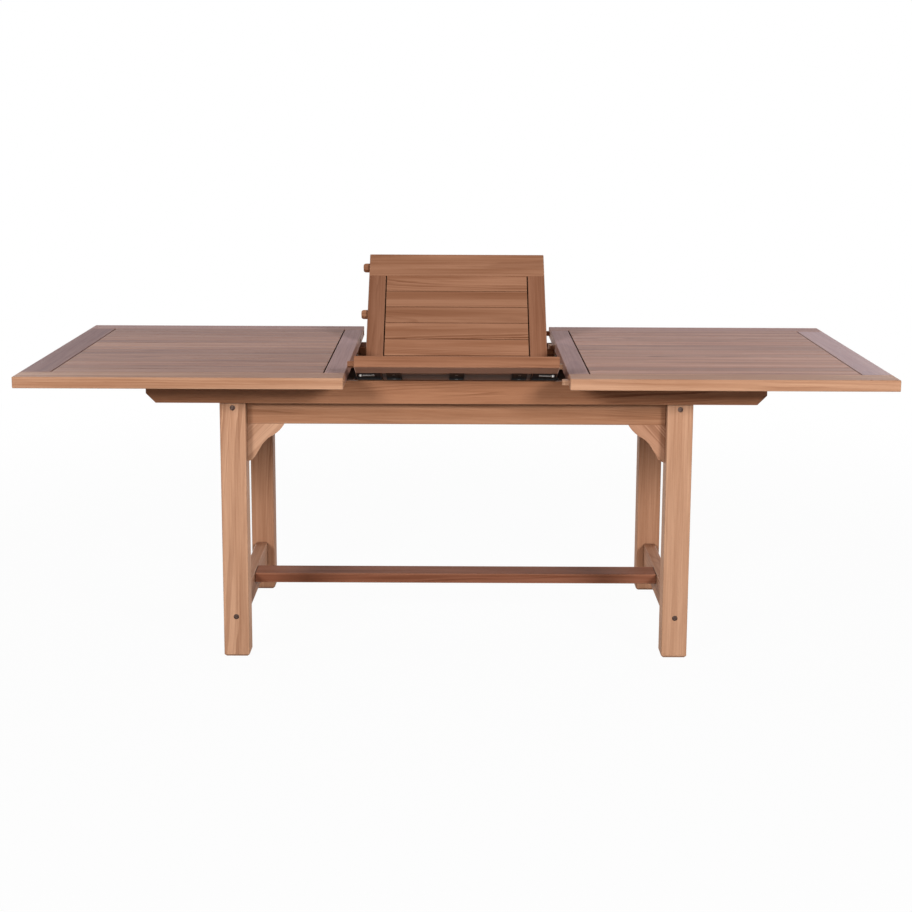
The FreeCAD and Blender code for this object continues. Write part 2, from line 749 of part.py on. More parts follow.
def hinge_recess(front, middle_x):
    """The housings for a hinge leaf and its barrel in the edge of a hinge rail."""
    start_x = middle_x - dim.hinge_length / 2
    trough = dim.barrel / 2 + dim.barrel_gap
    plate_low = leaf_top - dim.hinge_thick
    plate_size = (dim.hinge_length, dim.hinge_leaf, dim.hinge_thick + dim.overrun)
    plate = block((start_x, low_edge(front, ZERO, dim.hinge_leaf), plate_low), plate_size)
    barrel = block((start_x, low_edge(front, ZERO, trough), -trough), (dim.hinge_length, trough, trough))
    return joined([plate, barrel])


def make_leaf_half(name, front, pose):
    """One half of the butterfly leaf: frame, slats, battens, tongues and hinge leaves."""
    middle_z = leaf_top - dim.top_thick / 2
    start = dim.hinge_gap / 2
    second = half_depth - (dim.left_rear_tongue if front > 0 else dim.front_tongue)
    far_second = half_depth - (dim.right_rear_tongue if front > 0 else dim.front_tongue)
    outermost = half_depth - dim.tongue_inset
    node = f"{name}_outer_rail"
    corner = (-half_leaf, low_edge(front, half_depth - dim.rail_width, dim.rail_width), leaf_under)
    blank = board(f"{node}_blank", corner, (dim.leaf_width, dim.rail_width, dim.top_thick))
    row = signed(front, outermost)
    mortises = [root(-half_leaf, -1, row, middle_z), socket(half_leaf, 1, row, middle_z)]
    keep(less(blank, mortises), node, pose)
    node = f"{name}_hinge_rail"
    width = slat_pitch - start
    blank = board(f"{node}_blank", (-half_leaf, low_edge(front, start, width), leaf_under),
                  (dim.leaf_width, width, dim.top_thick))
    row_start = -(dim.hinge_spacing * (dim.hinge_count - 1) / 2)
    places = [row_start + dim.hinge_spacing * i for i in range(SIZES["hinge_count"])]
    keep(less(blank, [hinge_recess(front, x) for x in places]), node, pose)
    length = half_depth - dim.rail_width - slat_pitch
    stile_y = low_edge(front, slat_pitch, length)
    for side, way in SIDES:
        node = f"{name}_{side}_stile"
        stile_in = half_leaf - dim.leaf_stile_width
        corner = (low_edge(way, stile_in, dim.leaf_stile_width), stile_y, leaf_under)
        blank = board(f"{node}_blank", corner, (dim.leaf_stile_width, length, dim.top_thick))
        blank = with_lip(blank, signed(way, stile_in), stile_y, length, leaf_under)
        mortise = socket if way > 0 else root
        row = signed(front, far_second if way > 0 else second)
        keep(less(blank, [mortise(signed(way, half_leaf), way, row, middle_z)]), node, pose)
    slat_x = dim.leaf_stile_width + dim.slat_end_gap - half_leaf
    count = dim.slat_count / 2 - 1
    node = f"{name}_slats"
    keep(make_slats(node, slat_x, -(slat_x * 2), stile_y, count, leaf_top), node, pose)
    batten_x = slat_x + dim.leaf_batten_inset
    node = f"{name}_battens"
    bars = make_battens(node, batten_x, -(batten_x * 2), dim.leaf_batten_width, stile_y, length, leaf_top)
    keep(bars, node, pose)
    tip = -(half_leaf + dim.tongue_proud)
    rows = [signed(front, outermost), signed(front, second)]
    keep(group([tongue(tip, y, middle_z) for y in rows]), f"{name}_tongues", pose)
    keep(group([make_hinge_part(front, x) for x in places]), f"{name}_hinges", pose)


def make_leaf_ears():
    """Steel ears under the rear half that turn on the studs."""
    reach = dim.pivot_reach
    for side, way in SIDES:
        flange_width = dim.leaf_stile_width - dim.flange_inset * 2
        flange_x = low_edge(way, half_leaf - dim.leaf_stile_width + dim.flange_inset, flange_width)
        flange_low = leaf_under - dim.flange_thick
        flange = block((flange_x, reach - dim.flange_length / 2, flange_low),
                       (flange_width, dim.flange_length, dim.flange_thick))
        ear_x = low_edge(way, half_leaf - dim.ear_inset - dim.ear_thick, dim.ear_thick)
        ear = block((ear_x, reach - dim.ear_width / 2, -pivot_fall),
                    (dim.ear_thick, dim.ear_width, pivot_fall + leaf_under))
        ear_end = rod((ear_x, reach, -pivot_fall), "X", dim.ear_width, dim.ear_thick)
        bore = dim.stud + dim.stud_clearance * 2
        hole = rod((ear_x - dim.overrun, reach, -pivot_fall), "X", bore, dim.ear_thick + dim.overrun * 2)
        keep(less(joined([flange, ear, ear_end]), [hole]), f"leaf_ear_{side}", REAR_POSE)


def make_latches():
    """Hook latches under the leaf's front half, parked with their arms towards the middle."""
    hook_top = leaf_under - dim.latch_spacer
    hook_low = hook_top - dim.latch_thick
    screws = []
    for side, way in SIDES:
        pivot_x = signed(way, half_leaf - dim.latch_inset)
        arm_x = low_edge(way, half_leaf - dim.latch_inset - latch_arm, latch_arm)
        half_width = dim.latch_width / 2
        arm = block((arm_x, latch_y - half_width, hook_low), (latch_arm, dim.latch_width, dim.latch_thick))
        lip_x = low_edge(way, half_leaf - dim.latch_inset - latch_arm, dim.latch_lip_width)
        lip_y = latch_y - half_width - dim.latch_lip
        lip_size = (dim.latch_lip_width, dim.latch_lip + half_width, dim.latch_thick)
        lip = block((lip_x, lip_y, hook_low), lip_size)
        ring = rod((pivot_x, latch_y, hook_low), "Z", dim.latch_ring, dim.latch_thick)
        bore = dim.latch_screw + dim.stud_clearance * 2
        through = dim.latch_thick + dim.overrun * 2
        hole = rod((pivot_x, latch_y, hook_low - dim.overrun), "Z", bore, through)
        keep(less(joined([arm, lip, ring]), [hole]), f"latch_hook_{side}", FRONT_POSE)
        shank_low = hook_low - dim.stud_clearance
        shank = rod((pivot_x, latch_y, shank_low), "Z", dim.latch_screw, leaf_under - shank_low)
        collar = rod((pivot_x, latch_y, hook_top + dim.stud_clearance), "Z", dim.latch_head,
                     dim.latch_spacer - dim.stud_clearance)
        head_low = shank_low - dim.latch_head_thick
        head = rod((pivot_x, latch_y, head_low), "Z", dim.latch_head, dim.latch_head_thick)
        screws.append(joined([shank, collar, head]))
    keep(group(screws), "latch_screws", FRONT_POSE)


def check_and_write():
    """Stop on any failed piece, then write each one to its own file."""
    doc.recompute()
    failed = [item.Label for item in doc.Objects if {"Invalid", "Error"} & set(item.State)]
    failed += [item.Label for item in nodes if item.Shape.isNull() or not item.Shape.isValid()]
    if failed:
        raise RuntimeError(f"these pieces failed: {failed}")
    os.makedirs("parts", exist_ok=True)
    for item in nodes:
        item.Shape.exportStep(f"parts/{item.Label}.step")
    solids = sum(len(item.Shape.Solids) for item in nodes)
    print(f"{len(nodes)} pieces with {solids} solids written")


make_legs()
make_rails()
make_brackets()
make_runners()
make_bearers()
for half_side, half_way in SIDES:
    make_half_top(half_side, half_way)
make_leaf_half("leaf_rear", 1, REAR_POSE)
make_leaf_half("leaf_front", -1, FRONT_POSE)
make_leaf_ears()
make_latches()
check_and_write()
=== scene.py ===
import json
import logging
import math
from dataclasses import dataclass, field
from enum import Enum, StrEnum
from functools import partial, reduce
from typing import ClassVar

import bmesh
import bpy
from mathutils import Color, Euler, Matrix, Vector


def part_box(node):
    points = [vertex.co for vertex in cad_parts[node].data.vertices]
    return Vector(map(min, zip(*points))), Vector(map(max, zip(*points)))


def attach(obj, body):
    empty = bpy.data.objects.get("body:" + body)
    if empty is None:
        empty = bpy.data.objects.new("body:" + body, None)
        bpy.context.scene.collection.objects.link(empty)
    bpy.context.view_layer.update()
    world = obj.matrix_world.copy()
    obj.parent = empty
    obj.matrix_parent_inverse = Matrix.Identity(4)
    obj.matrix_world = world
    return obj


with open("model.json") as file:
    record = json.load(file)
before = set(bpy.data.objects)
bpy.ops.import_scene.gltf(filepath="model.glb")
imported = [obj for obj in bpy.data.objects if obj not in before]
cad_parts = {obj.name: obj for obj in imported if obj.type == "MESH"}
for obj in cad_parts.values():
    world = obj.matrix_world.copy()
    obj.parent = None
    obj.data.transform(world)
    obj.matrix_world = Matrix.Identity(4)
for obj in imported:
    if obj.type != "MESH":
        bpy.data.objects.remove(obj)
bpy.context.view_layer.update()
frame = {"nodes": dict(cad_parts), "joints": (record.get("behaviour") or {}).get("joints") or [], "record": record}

# The looks of an extending table in teak with a butterfly leaf: the grain and tone of each board, the
# steel of its fittings, their screws, and the studio round it. Lengths are in metres.

log = logging.getLogger("extending_table")

Socket = bpy.types.NodeSocket
Triple = tuple[float, float, float]
Colour = Triple
Value = Socket | float | Triple | Vector | Euler

QUARTER_TURN = math.pi / 2
FACE_DOWN = Matrix.Rotation(math.pi, 4, "X")

# the brightest value of a screen's channel
SCREEN_WHITE = 255

# decimals of a metre that tell one edge from the next
EDGE_DECIMALS = 5


class Side(StrEnum):
    """The two ends of the table, as they stand in the names of its pieces."""

    LEFT = "left"
    RIGHT = "right"


def linear(red: int, green: int, blue: int) -> Colour:
    """Turn a colour as it looks on a screen, from 0 to 255, into the shader's linear values."""
    screen = Color([channel / SCREEN_WHITE for channel in (red, green, blue)])
    return tuple(screen.from_srgb_to_scene_linear())


def opaque(value: Value) -> Value:
    """Give a plain colour its full alpha, and leave anything else as it is."""
    return (*value, 1.0) if isinstance(value, tuple) else value


@dataclass(frozen=True)
class Marking:
    """How a noise runs through wood or metal.

    Attributes:
        stretch: How fast it changes along X, Y and Z.
        detail: How many finer layers it has.
        roughness: How strong the finer layers are.
        span: The values that a mask made from it turns into 0 and 1.
    """

    stretch: Triple
    detail: float
    roughness: float = 0.5
    span: tuple[float, float] = (0.0, 1.0)


class NodeBench:
    """Adds nodes to one node tree and links them."""

    # where a Mix node keeps the factor and the two colours, and the mixed colour
    mix_inputs = (0, 6, 7)
    mix_output = 2

    def __init__(self, tree: bpy.types.NodeTree) -> None:
        """Keep the tree that the nodes go to."""
        self.tree = tree

    def add(self, kind: str, *values: Value, **settings: object) -> bpy.types.Node:
        """Add a node.

        Args:
            kind: The node's type.
            values: A link or a plain value for each of its first inputs, in order.
            settings: Properties to set on it.

        Returns:
            The new node.
        """
        node = self.tree.nodes.new(kind)
        for name, value in settings.items():
            setattr(node, name, value)
        for socket, value in zip(node.inputs, values):
            self.feed(socket, value)
        return node

    def feed(self, socket: Socket, value: Value) -> None:
        """Link a socket to another one, or give it a plain value.

        Args:
            socket: The input that is fed.
            value: The other socket, or the plain value.
        """
        if isinstance(value, Socket):
            self.tree.links.new(value, socket)
        else:
            socket.default_value = value

    def add_fed(self, kind: str, values: dict[str, Value], **settings: object) -> bpy.types.NodeOutputs:
        """Add a node and feed its inputs by name.

        Args:
            kind: The node's type.
            values: A link or a plain value for each input. A plain triple is a colour.
            settings: Properties to set on it.

        Returns:
            The new node's outputs.
        """
        node = self.add(kind, **settings)
        self.feed_all(node, values)
        return node.outputs

    def feed_all(self, node: bpy.types.Node, values: dict[str, Value]) -> None:
        """Feed a node's inputs by name.

        Args:
            node: The node.
            values: A link or a plain value for each input. A plain triple is a colour.
        """
        for name, value in values.items():
            self.feed(node.inputs[name], opaque(value))

    def math(self, operation: str, *values: Value) -> Socket:
        """Work out a number with a Math node's operation."""
        return self.add("ShaderNodeMath", *values, operation=operation).outputs[0]

    def vector(self, operation: str, *values: Value) -> Socket:
        """Work out a vector with a Vector Math node's operation."""
        return self.add("ShaderNodeVectorMath", *values, operation=operation).outputs["Vector"]

    def measure(self, operation: str, *values: Value) -> Socket:
        """Work out a number from vectors with a Vector Math node's operation."""
        return self.add("ShaderNodeVectorMath", *values, operation=operation).outputs["Value"]

    def total(self, *values: Value) -> Socket:
        """Add numbers, from the first to the last."""
        return reduce(partial(self.math, "ADD"), values)

    def product(self, *values: Value) -> Socket:
        """Multiply numbers, from the first to the last."""
        return reduce(partial(self.math, "MULTIPLY"), values)

    def centred(self, value: Socket, reach: Value) -> Socket:
        """Turn values from 0 to 1 into values about zero that span the reach."""
        return self.product(self.math("SUBTRACT", value, 0.5), reach)

    def lifted(self, value: Socket, least: float) -> Socket:
        """Turn values from 0 to 1 into values from the least to 1."""
        return self.math("MULTIPLY_ADD", value, 1 - least, least)

    def where(self) -> Socket:
        """Give the shaded point in the object's own frame."""
        return self.add("ShaderNodeTexCoord").outputs["Object"]

    def chance(self, number: Socket) -> bpy.types.NodeOutputs:
        """Draw a value and a colour by chance, always the same for one number."""
        return self.add_fed("ShaderNodeTexWhiteNoise", {"W": number}, noise_dimensions="1D")

    def noise(self, vector: Socket, marking: Marking) -> Socket:
        """Add a noise that is stretched along the axes, about 0.5 on average.

        Args:
            vector: Where the noise is read.
            marking: How it runs.

        Returns:
            The socket of the noise's value.
        """
        return self.add_fed("ShaderNodeTexNoise", {
            "Vector": self.vector("MULTIPLY", vector, marking.stretch), "Scale": 1.0,
            "Detail": marking.detail, "Roughness": marking.roughness,
        })["Fac"]

    def remap(self, value: Socket, low: float, high: float) -> Socket:
        """Stretch the values from low to high over 0 to 1, smoothly and clamped."""
        fed = {"Value": value, "From Min": low, "From Max": high}
        return self.add_fed("ShaderNodeMapRange", fed, interpolation_type="SMOOTHSTEP")["Result"]

    def mask(self, vector: Socket, marking: Marking) -> Socket:
        """Add a stretched noise as a mask from 0 to 1."""
        return self.remap(self.noise(vector, marking), *marking.span)

    def relief(self, height: Socket, strength: float, distance: float) -> Socket:
        """Make a relief from a height, in which a height of 1 stands out by the distance."""
        fed = {"Height": height, "Strength": strength, "Distance": distance}
        return self.add_fed("ShaderNodeBump", fed)["Normal"]

    def mix(self, factor: Value, first: Value, second: Value, blend: str = "MIX") -> Socket:
        """Mix two colours.

        Args:
            factor: The share of the second colour.
            first: The first colour.
            second: The second colour.
            blend: How they are mixed.

        Returns:
            The mixed colour's socket.
        """
        node = self.add("ShaderNodeMix", data_type="RGBA", blend_type=blend, clamp_factor=True)
        for number, value in zip(self.mix_inputs, (factor, first, second)):
            self.feed(node.inputs[number], opaque(value))
        return node.outputs[self.mix_output]

    def blend(self, factor: Socket, first: Socket, second: Socket) -> Socket:
        """Blend two shaders by the share of the second."""
        return self.add("ShaderNodeMixShader", factor, first, second).outputs[0]


class SocketKind(Enum):
    """What a socket of an effect carries."""

    NUMBER = "NodeSocketFloat"
    VECTOR = "NodeSocketVector"
    COLOUR = "NodeSocketColor"


SocketNames = dict[SocketKind, tuple[str, ...]]


class EffectGroup:
    """A shader node group with named inputs and outputs, built once."""

    def __init__(self, name: str, inputs: SocketNames, outputs: SocketNames) -> None:
        """Make the empty group.

        Args:
            name: The group's name.
            inputs: The names of its inputs by kind.
            outputs: The names of its outputs by kind.
        """
        self.tree = bpy.data.node_groups.new(name, "ShaderNodeTree")
        for way, sockets in (("INPUT", inputs), ("OUTPUT", outputs)):
            for kind, names in sockets.items():
                for socket in names:
                    self.tree.interface.new_socket(socket, in_out=way, socket_type=kind.value)
        self.bench = NodeBench(self.tree)
        self.source = self.bench.add("NodeGroupInput").outputs
        self.result = self.bench.add("NodeGroupOutput")

    def place(self, bench: NodeBench, values: dict[str, Value]) -> bpy.types.NodeOutputs:
        """Place the group in a material and give its outputs."""
        return bench.add_fed("ShaderNodeGroup", values, node_tree=self.tree)


class TeakGrain(EffectGroup):
    """The grain of sawn teak boards, with rings round a pith that lies off the board.

    Its vector runs along the grain in X, across the board in Y and through it in Z.
    """

    # how far apart the boards' logs lie
    log_step = 7.31
    log_shift = (37.0, 23.0, 29.0)

    # the pith: its span beside the board, its depth under it, and how it leans, rises and sways
    pith_span = 0.11
    pith_least_depth = 0.012
    pith_depth_reach = 0.05
    pith_lean = 0.05
    pith_rise = 0.16
    pith_sway = 0.035
    sway_noise = Marking((1.6, 7.0, 7.0), 2.0)

    # the rings: how they wander, how wide the years are, how a year darkens and where rings fade
    wander_noise = Marking((3.0, 24.0, 24.0), 3.0, 0.6)
    wander_reach = 1.6
    season_rate = 0.6
    season_reach = 2.4
    darkening = (0.15, 0.88)
    ending = (1.0, 0.88)
    year_least = 0.15
    fade_noise = Marking((3.0, 18.0, 18.0), 2.0, span=(0.34, 0.70))

    # the fibres, broad bands of tone, short open pores and dark veins
    fibre_noise = Marking((4.0, 240.0, 240.0), 5.0, 0.72)
    fibre_reach = 1.9
    band_noise = Marking((1.1, 34.0, 34.0), 3.0, 0.55, span=(0.30, 0.72))
    pore_noise = Marking((38.0, 900.0, 900.0), 2.0, span=(0.60, 0.72))
    pore_darkness = 0.10
    vein_noise = Marking((2.6, 300.0, 300.0), 3.0, 0.6, span=(0.52, 0.72))
    vein_darkness = 0.22

    # the pale edges, rubbed and partly a painted highlight, by how far the surface turns there, and dirt with
    # painted shade in joints, by their ambient occlusion
    edge_samples = 3
    edge_turn = (0.98, 0.80)
    joint_samples = 5
    joint_reach = 0.007
    joint_shade = (0.80, 0.30)
    joint_dirt_and_shade = 0.85

    # the surface
    fibre_roughness = 0.22
    pore_roughness = 0.12
    pore_depth = 0.8
    ring_depth = 0.4

    def __init__(self) -> None:
        """Build the group, in which each board of a panel is cut from a log of its own."""
        super().__init__(
            "teak_grain",
            {SocketKind.VECTOR: ("Vector",),
             SocketKind.NUMBER: ("Seed", "Pitch", "First", "Ring Width", "Ring Strength", "Streak Strength",
                                 "Board Variation", "Base Roughness", "Edge Width", "Edge Wear And Highlight", "Shaded Side"),
             SocketKind.COLOUR: ("Light Tone", "Middle Tone", "Dark Tone", "Edge Tone", "Joint Dirt And Shade Tone",
                                 "Shaded Side Tone")},
            {SocketKind.COLOUR: ("Color",), SocketKind.NUMBER: ("Roughness", "Height")},
        )
        bench, source = self.bench, self.source
        self.along, across, self.through = bench.add("ShaderNodeSeparateXYZ", source["Vector"]).outputs
        boards = bench.math("DIVIDE", across, source["Pitch"])
        index = bench.math("FLOOR", bench.total(boards, source["First"]))
        middle = bench.math("SUBTRACT", bench.total(index, 0.5), source["First"])
        self.aside = bench.math("SUBTRACT", across, bench.product(middle, source["Pitch"]))
        self.log_number = bench.math("MULTIPLY_ADD", index, self.log_step, source["Seed"])
        self.drawn = bench.chance(self.log_number)
        shift = bench.vector("MULTIPLY", self.drawn["Color"], self.log_shift)
        self.spot = bench.vector("ADD", source["Vector"], shift)
        self.ring = self.rings()
        self.fibre = bench.noise(self.spot, self.fibre_noise)
        self.pore = bench.mask(self.spot, self.pore_noise)
        rough = bench.math("MULTIPLY_ADD", self.fibre, self.fibre_roughness, source["Base Roughness"])
        height = bench.math("SUBTRACT", self.fibre, bench.product(self.pore, self.pore_depth))
        bench.feed_all(self.result, {
            "Color": self.weathered_and_shaded(self.tone()),
            "Roughness": bench.math("MULTIPLY_ADD", self.pore, self.pore_roughness, rough),
            "Height": bench.math("SUBTRACT", height, bench.product(self.ring, self.ring_depth)),
        })

    def pith_distance(self) -> Socket:
        """Measure how far the wood lies from the pith, which runs at a slant to the board.

        Returns:
            The distance's socket.
        """
        bench = self.bench
        first, second, third = bench.add("ShaderNodeSeparateColor", self.drawn["Color"]).outputs[:3]
        sway = bench.centred(bench.noise(self.spot, self.sway_noise), self.pith_sway)
        lean = bench.product(self.along, bench.centred(second, self.pith_lean))
        pith_side = bench.total(bench.centred(first, self.pith_span), lean, sway)
        rise = bench.product(self.along, bench.centred(third, self.pith_rise))
        depth = bench.math("MULTIPLY_ADD", third, self.pith_depth_reach, self.pith_least_depth)
        beside = bench.math("SUBTRACT", self.aside, pith_side)
        above = bench.total(self.through, bench.total(depth, rise))
        return bench.math("SQRT", bench.total(bench.product(beside, beside), bench.product(above, above)))

    def rings(self) -> Socket:
        """Grow the rings.

        Returns:
            The socket of the rings' darkness.
        """
        bench, source = self.bench, self.source
        wander = bench.product(bench.noise(self.spot, self.wander_noise), self.wander_reach)
        turn = bench.total(bench.math("DIVIDE", self.pith_distance(), source["Ring Width"]), wander)
        rate = bench.math("MULTIPLY_ADD", turn, self.season_rate, self.log_number)
        season = bench.add_fed("ShaderNodeTexNoise", {"W": rate, "Scale": 1.0}, noise_dimensions="1D")
        turn = bench.math("MULTIPLY_ADD", season["Fac"], self.season_reach, turn)
        phase = bench.math("FRACT", turn)
        year = bench.chance(bench.total(bench.math("FLOOR", turn), self.log_number))["Value"]
        return bench.product(
            bench.remap(phase, *self.darkening), bench.remap(phase, *self.ending),
            bench.lifted(year, self.year_least), bench.mask(self.spot, self.fade_noise),
            source["Ring Strength"],
        )

    def tone(self) -> Socket:
        """Colour the fresh wood.

        Returns:
            The tone's socket.
        """
        bench, source = self.bench, self.source
        streak = bench.product(bench.mask(self.spot, self.band_noise), source["Streak Strength"])
        fine = bench.centred(self.fibre, self.fibre_reach)
        tone = bench.mix(bench.total(streak, fine), source["Light Tone"], source["Middle Tone"])
        pores = bench.product(self.pore, self.pore_darkness)
        veins = bench.product(bench.mask(self.spot, self.vein_noise), self.vein_darkness)
        tone = bench.mix(bench.total(self.ring, pores, veins), tone, source["Dark Tone"])
        bright = bench.total(bench.centred(self.drawn["Value"], source["Board Variation"]), 1.0)
        return bench.mix(1.0, tone, bright, "MULTIPLY")

    def weathered_and_shaded(self, tone: Socket) -> Socket:
        """Rub the edges pale with a painted highlight, and paint shade on one side and, with dirt, in the joints.

        Args:
            tone: The fresh wood's tone.

        Returns:
            The finished tone's socket.
        """
        bench, source = self.bench, self.source
        # pale rubbed edges, which also paint the highlight that rounded arrises catch
        rounded = bench.add("ShaderNodeBevel", source["Edge Width"], samples=self.edge_samples).outputs[0]
        flat = bench.add("ShaderNodeNewGeometry").outputs["Normal"]
        turned = bench.remap(bench.measure("DOT_PRODUCT", rounded, flat), *self.edge_turn)
        tone = bench.mix(bench.product(turned, source["Edge Wear And Highlight"]), tone, source["Edge Tone"])
        # the chosen side is painted near black, as shade
        tone = bench.mix(source["Shaded Side"], tone, source["Shaded Side Tone"])
        # painted shade with dirt: joints and recesses darken where ambient occlusion finds surfaces close by
        fed = {"Distance": self.joint_reach}
        occlusion = bench.add_fed("ShaderNodeAmbientOcclusion", fed, samples=self.joint_samples)["AO"]
        dirt_and_shade = bench.product(bench.remap(occlusion, *self.joint_shade), self.joint_dirt_and_shade)
        return bench.mix(dirt_and_shade, tone, source["Joint Dirt And Shade Tone"])


class RubbedMetal(EffectGroup):
    """The fine rubbing and handling marks on metal: a mask of marks, a roughness and a height."""

    line_noise = Marking((90.0, 2600.0, 2600.0), 3.0, 0.6)
    line_roughness = 0.08
    smear_noise = Marking((160.0, 160.0, 160.0), 4.0, 0.6, span=(0.42, 0.68))
    smear_roughness = 0.5

    def __init__(self) -> None:
        """Build the group."""
        super().__init__(
            "rubbed_metal",
            {SocketKind.VECTOR: ("Vector",), SocketKind.NUMBER: ("Base Roughness",)},
            {SocketKind.NUMBER: ("Marks", "Roughness", "Height")},
        )
        bench, source = self.bench, self.source
        lines = bench.noise(source["Vector"], self.line_noise)
        smears = bench.noise(source["Vector"], self.smear_noise)
        rough = bench.total(source["Base Roughness"], bench.centred(smears, self.smear_roughness))
        bench.feed_all(self.result, {
            "Marks": bench.remap(smears, *self.smear_noise.span),
            "Roughness": bench.math("MULTIPLY_ADD", lines, self.line_roughness, rough),
            "Height": lines,
        })


class Grain(Enum):
    """Which way a board's grain runs, as the turns about Y and Z that lay it along X."""

    LENGTHWISE = (0.0, 0.0)
    CROSSWISE = (0.0, -QUARTER_TURN)
    UPRIGHT = (QUARTER_TURN, 0.0)
    RISING = (QUARTER_TURN / 2, 0.0)
    FALLING = (-QUARTER_TURN / 2, 0.0)


@dataclass(frozen=True)
class Board:
    """How a board, or a panel of like boards, lies in the grain.

    Attributes:
        origin: The point that the grain is measured from.
        grain: Which way the grain runs.
        tilt: The board's turn about X, in radians.
        pitch: The distance from board to board in a panel, or zero for one board.
        shaded_side: Which way a side faces that is painted near black as shade, or None.
    """

    origin: Triple
    grain: Grain
    tilt: float = 0.0
    pitch: float = 0.0
    shaded_side: Triple | None = None


def start_material(name: str) -> tuple[bpy.types.Material, NodeBench, bpy.types.Node]:
    """Make a material with a plain surface.

    Args:
        name: The material's name.

    Returns:
        The material, its nodes and its surface shader.
    """
    material = bpy.data.materials.new(name)
    material.use_nodes = True
    return material, NodeBench(material.node_tree), material.node_tree.nodes["Principled BSDF"]


@dataclass(frozen=True)
class TeakFinish:
    """Oiled teak in one range of tones.

    Attributes:
        name: The finish's name.
        tint: The share of red, green and blue that this wood keeps of the palest teak.
        ring_width: The distance between growth rings.
        ring_strength: How strongly the rings show.
        streak_strength: How strongly the streaks show.
        variation: How much the boards differ in brightness.
        bump: The height of the grain's relief.
        specular: How strongly the oiled surface reflects.
        roughness: The roughness between the fibres.
        sheen: How much sanding dust lies in the fibres, which shows at a low angle.
        sheen_tone: The tone of that dust.
        edge_width: How wide the rubbed and highlighted edges are.
        wear_and_highlight: How far they are rubbed back to paler wood, which also paints the highlight that a
            rounded edge catches.
    """

    name: str
    tint: Colour
    ring_width: float = 0.0095
    ring_strength: float = 0.55
    streak_strength: float = 0.9
    variation: float = 0.16
    bump: float = 0.00025
    specular: float = 0.34
    roughness: float = 0.4
    sheen: float = 0.0
    sheen_tone: Colour = (0.79, 0.71, 0.95)
    edge_width: float = 0.0016
    wear_and_highlight: float = 0.35

    # the palest teak, the tone of dirt and painted shade in joints, and the near-black tone painted as shade on
    # one side
    light: ClassVar[Colour] = linear(208, 161, 129)
    middle: ClassVar[Colour] = linear(180, 132, 101)
    dark: ClassVar[Colour] = linear(134, 86, 58)
    joint: ClassVar[Colour] = linear(78, 44, 28)
    stain: ClassVar[Colour] = linear(38, 27, 25)
    edge_power: ClassVar[float] = 0.6

    # a board by itself is a panel of one, wider than any board
    single_pitch: ClassVar[float] = 1000.0
    # how squarely a side must face that way to be painted near black as shade
    shade_facing: ClassVar[tuple[float, float]] = (0.6, 0.9)
    bump_strength: ClassVar[float] = 0.5

    def tone(self, colour: Colour, power: float = 1.0) -> Colour:
        """Tint one of the palette's colours, less with a power under 1."""
        return tuple(part * share ** power for part, share in zip(colour, self.tint))

    def stained(self, bench: NodeBench, board: Board) -> Value:
        """Mask the board's side that is painted near black as shade.

        Args:
            bench: The material's nodes.
            board: How the board lies.

        Returns:
            The mask's socket, or zero for a board with no such side.
        """
        if board.shaded_side is None:
            return 0.0
        facing = bench.add("ShaderNodeTexCoord").outputs["Normal"]
        return bench.remap(bench.measure("DOT_PRODUCT", facing, board.shaded_side), *self.shade_facing)

    def material(self, name: str, seed: float, board: Board, grain: EffectGroup) -> bpy.types.Material:
        """Make the material of one node.

        Args:
            name: The material's name.
            seed: The number of the log that the board is cut from.
            board: How the board lies.
            grain: The shared grain effect.

        Returns:
            The material.
        """
        material, bench, shader = start_material(name)
        turn = Euler((-board.tilt, *board.grain.value), "XYZ")
        start = -(turn.to_matrix() @ Vector(board.origin))
        lay = {"Vector": bench.where(), "Rotation": turn, "Location": start}
        placed = grain.place(bench, {
            "Vector": bench.add_fed("ShaderNodeMapping", lay, vector_type="POINT")["Vector"], "Seed": seed,
            "Pitch": board.pitch or self.single_pitch, "First": 0.0 if board.pitch else 0.5,
            "Ring Width": self.ring_width, "Ring Strength": self.ring_strength,
            "Streak Strength": self.streak_strength, "Board Variation": self.variation,
            "Base Roughness": self.roughness, "Edge Width": self.edge_width, "Edge Wear And Highlight": self.wear_and_highlight,
            "Shaded Side": self.stained(bench, board),
            "Light Tone": self.tone(self.light), "Middle Tone": self.tone(self.middle),
            "Dark Tone": self.tone(self.dark), "Edge Tone": self.tone(self.light, self.edge_power),
            "Joint Dirt And Shade Tone": self.tone(self.joint), "Shaded Side Tone": self.stain,
        })
        bench.feed_all(shader, {
            "Base Color": placed["Color"], "Roughness": placed["Roughness"],
            "Normal": bench.relief(placed["Height"], self.bump_strength, self.bump),
            "Specular IOR Level": self.specular, "Sheen Weight": self.sheen, "Sheen Tint": self.sheen_tone,
        })
        return material


@dataclass(frozen=True)
class MetalFinish:
    """A metal fitting's finish.

    Attributes:
        name: The finish's name.
        tone: The metal's or the paint's tone.
        marked: The tone of its handling marks.
        metallic: 1 for bare metal and 0 for paint.
        roughness: The roughness between the marks.
    """

    name: str
    tone: Colour
    marked: Colour
    metallic: float
    roughness: float

    bump: ClassVar[float] = 0.00004
    bump_strength: ClassVar[float] = 0.35

    def material(self, rubbed: EffectGroup) -> bpy.types.Material:
        """Make the material.

        Args:
            rubbed: The shared effect of handling marks.

        Returns:
            The material.
        """
        material, bench, shader = start_material(self.name)
        placed = rubbed.place(bench, {"Vector": bench.where(), "Base Roughness": self.roughness})
        bench.feed_all(shader, {
            "Base Color": bench.mix(placed["Marks"], self.tone, self.marked),
            "Roughness": placed["Roughness"], "Metallic": self.metallic,
            "Normal": bench.relief(placed["Height"], self.bump_strength, self.bump),
        })
        return material


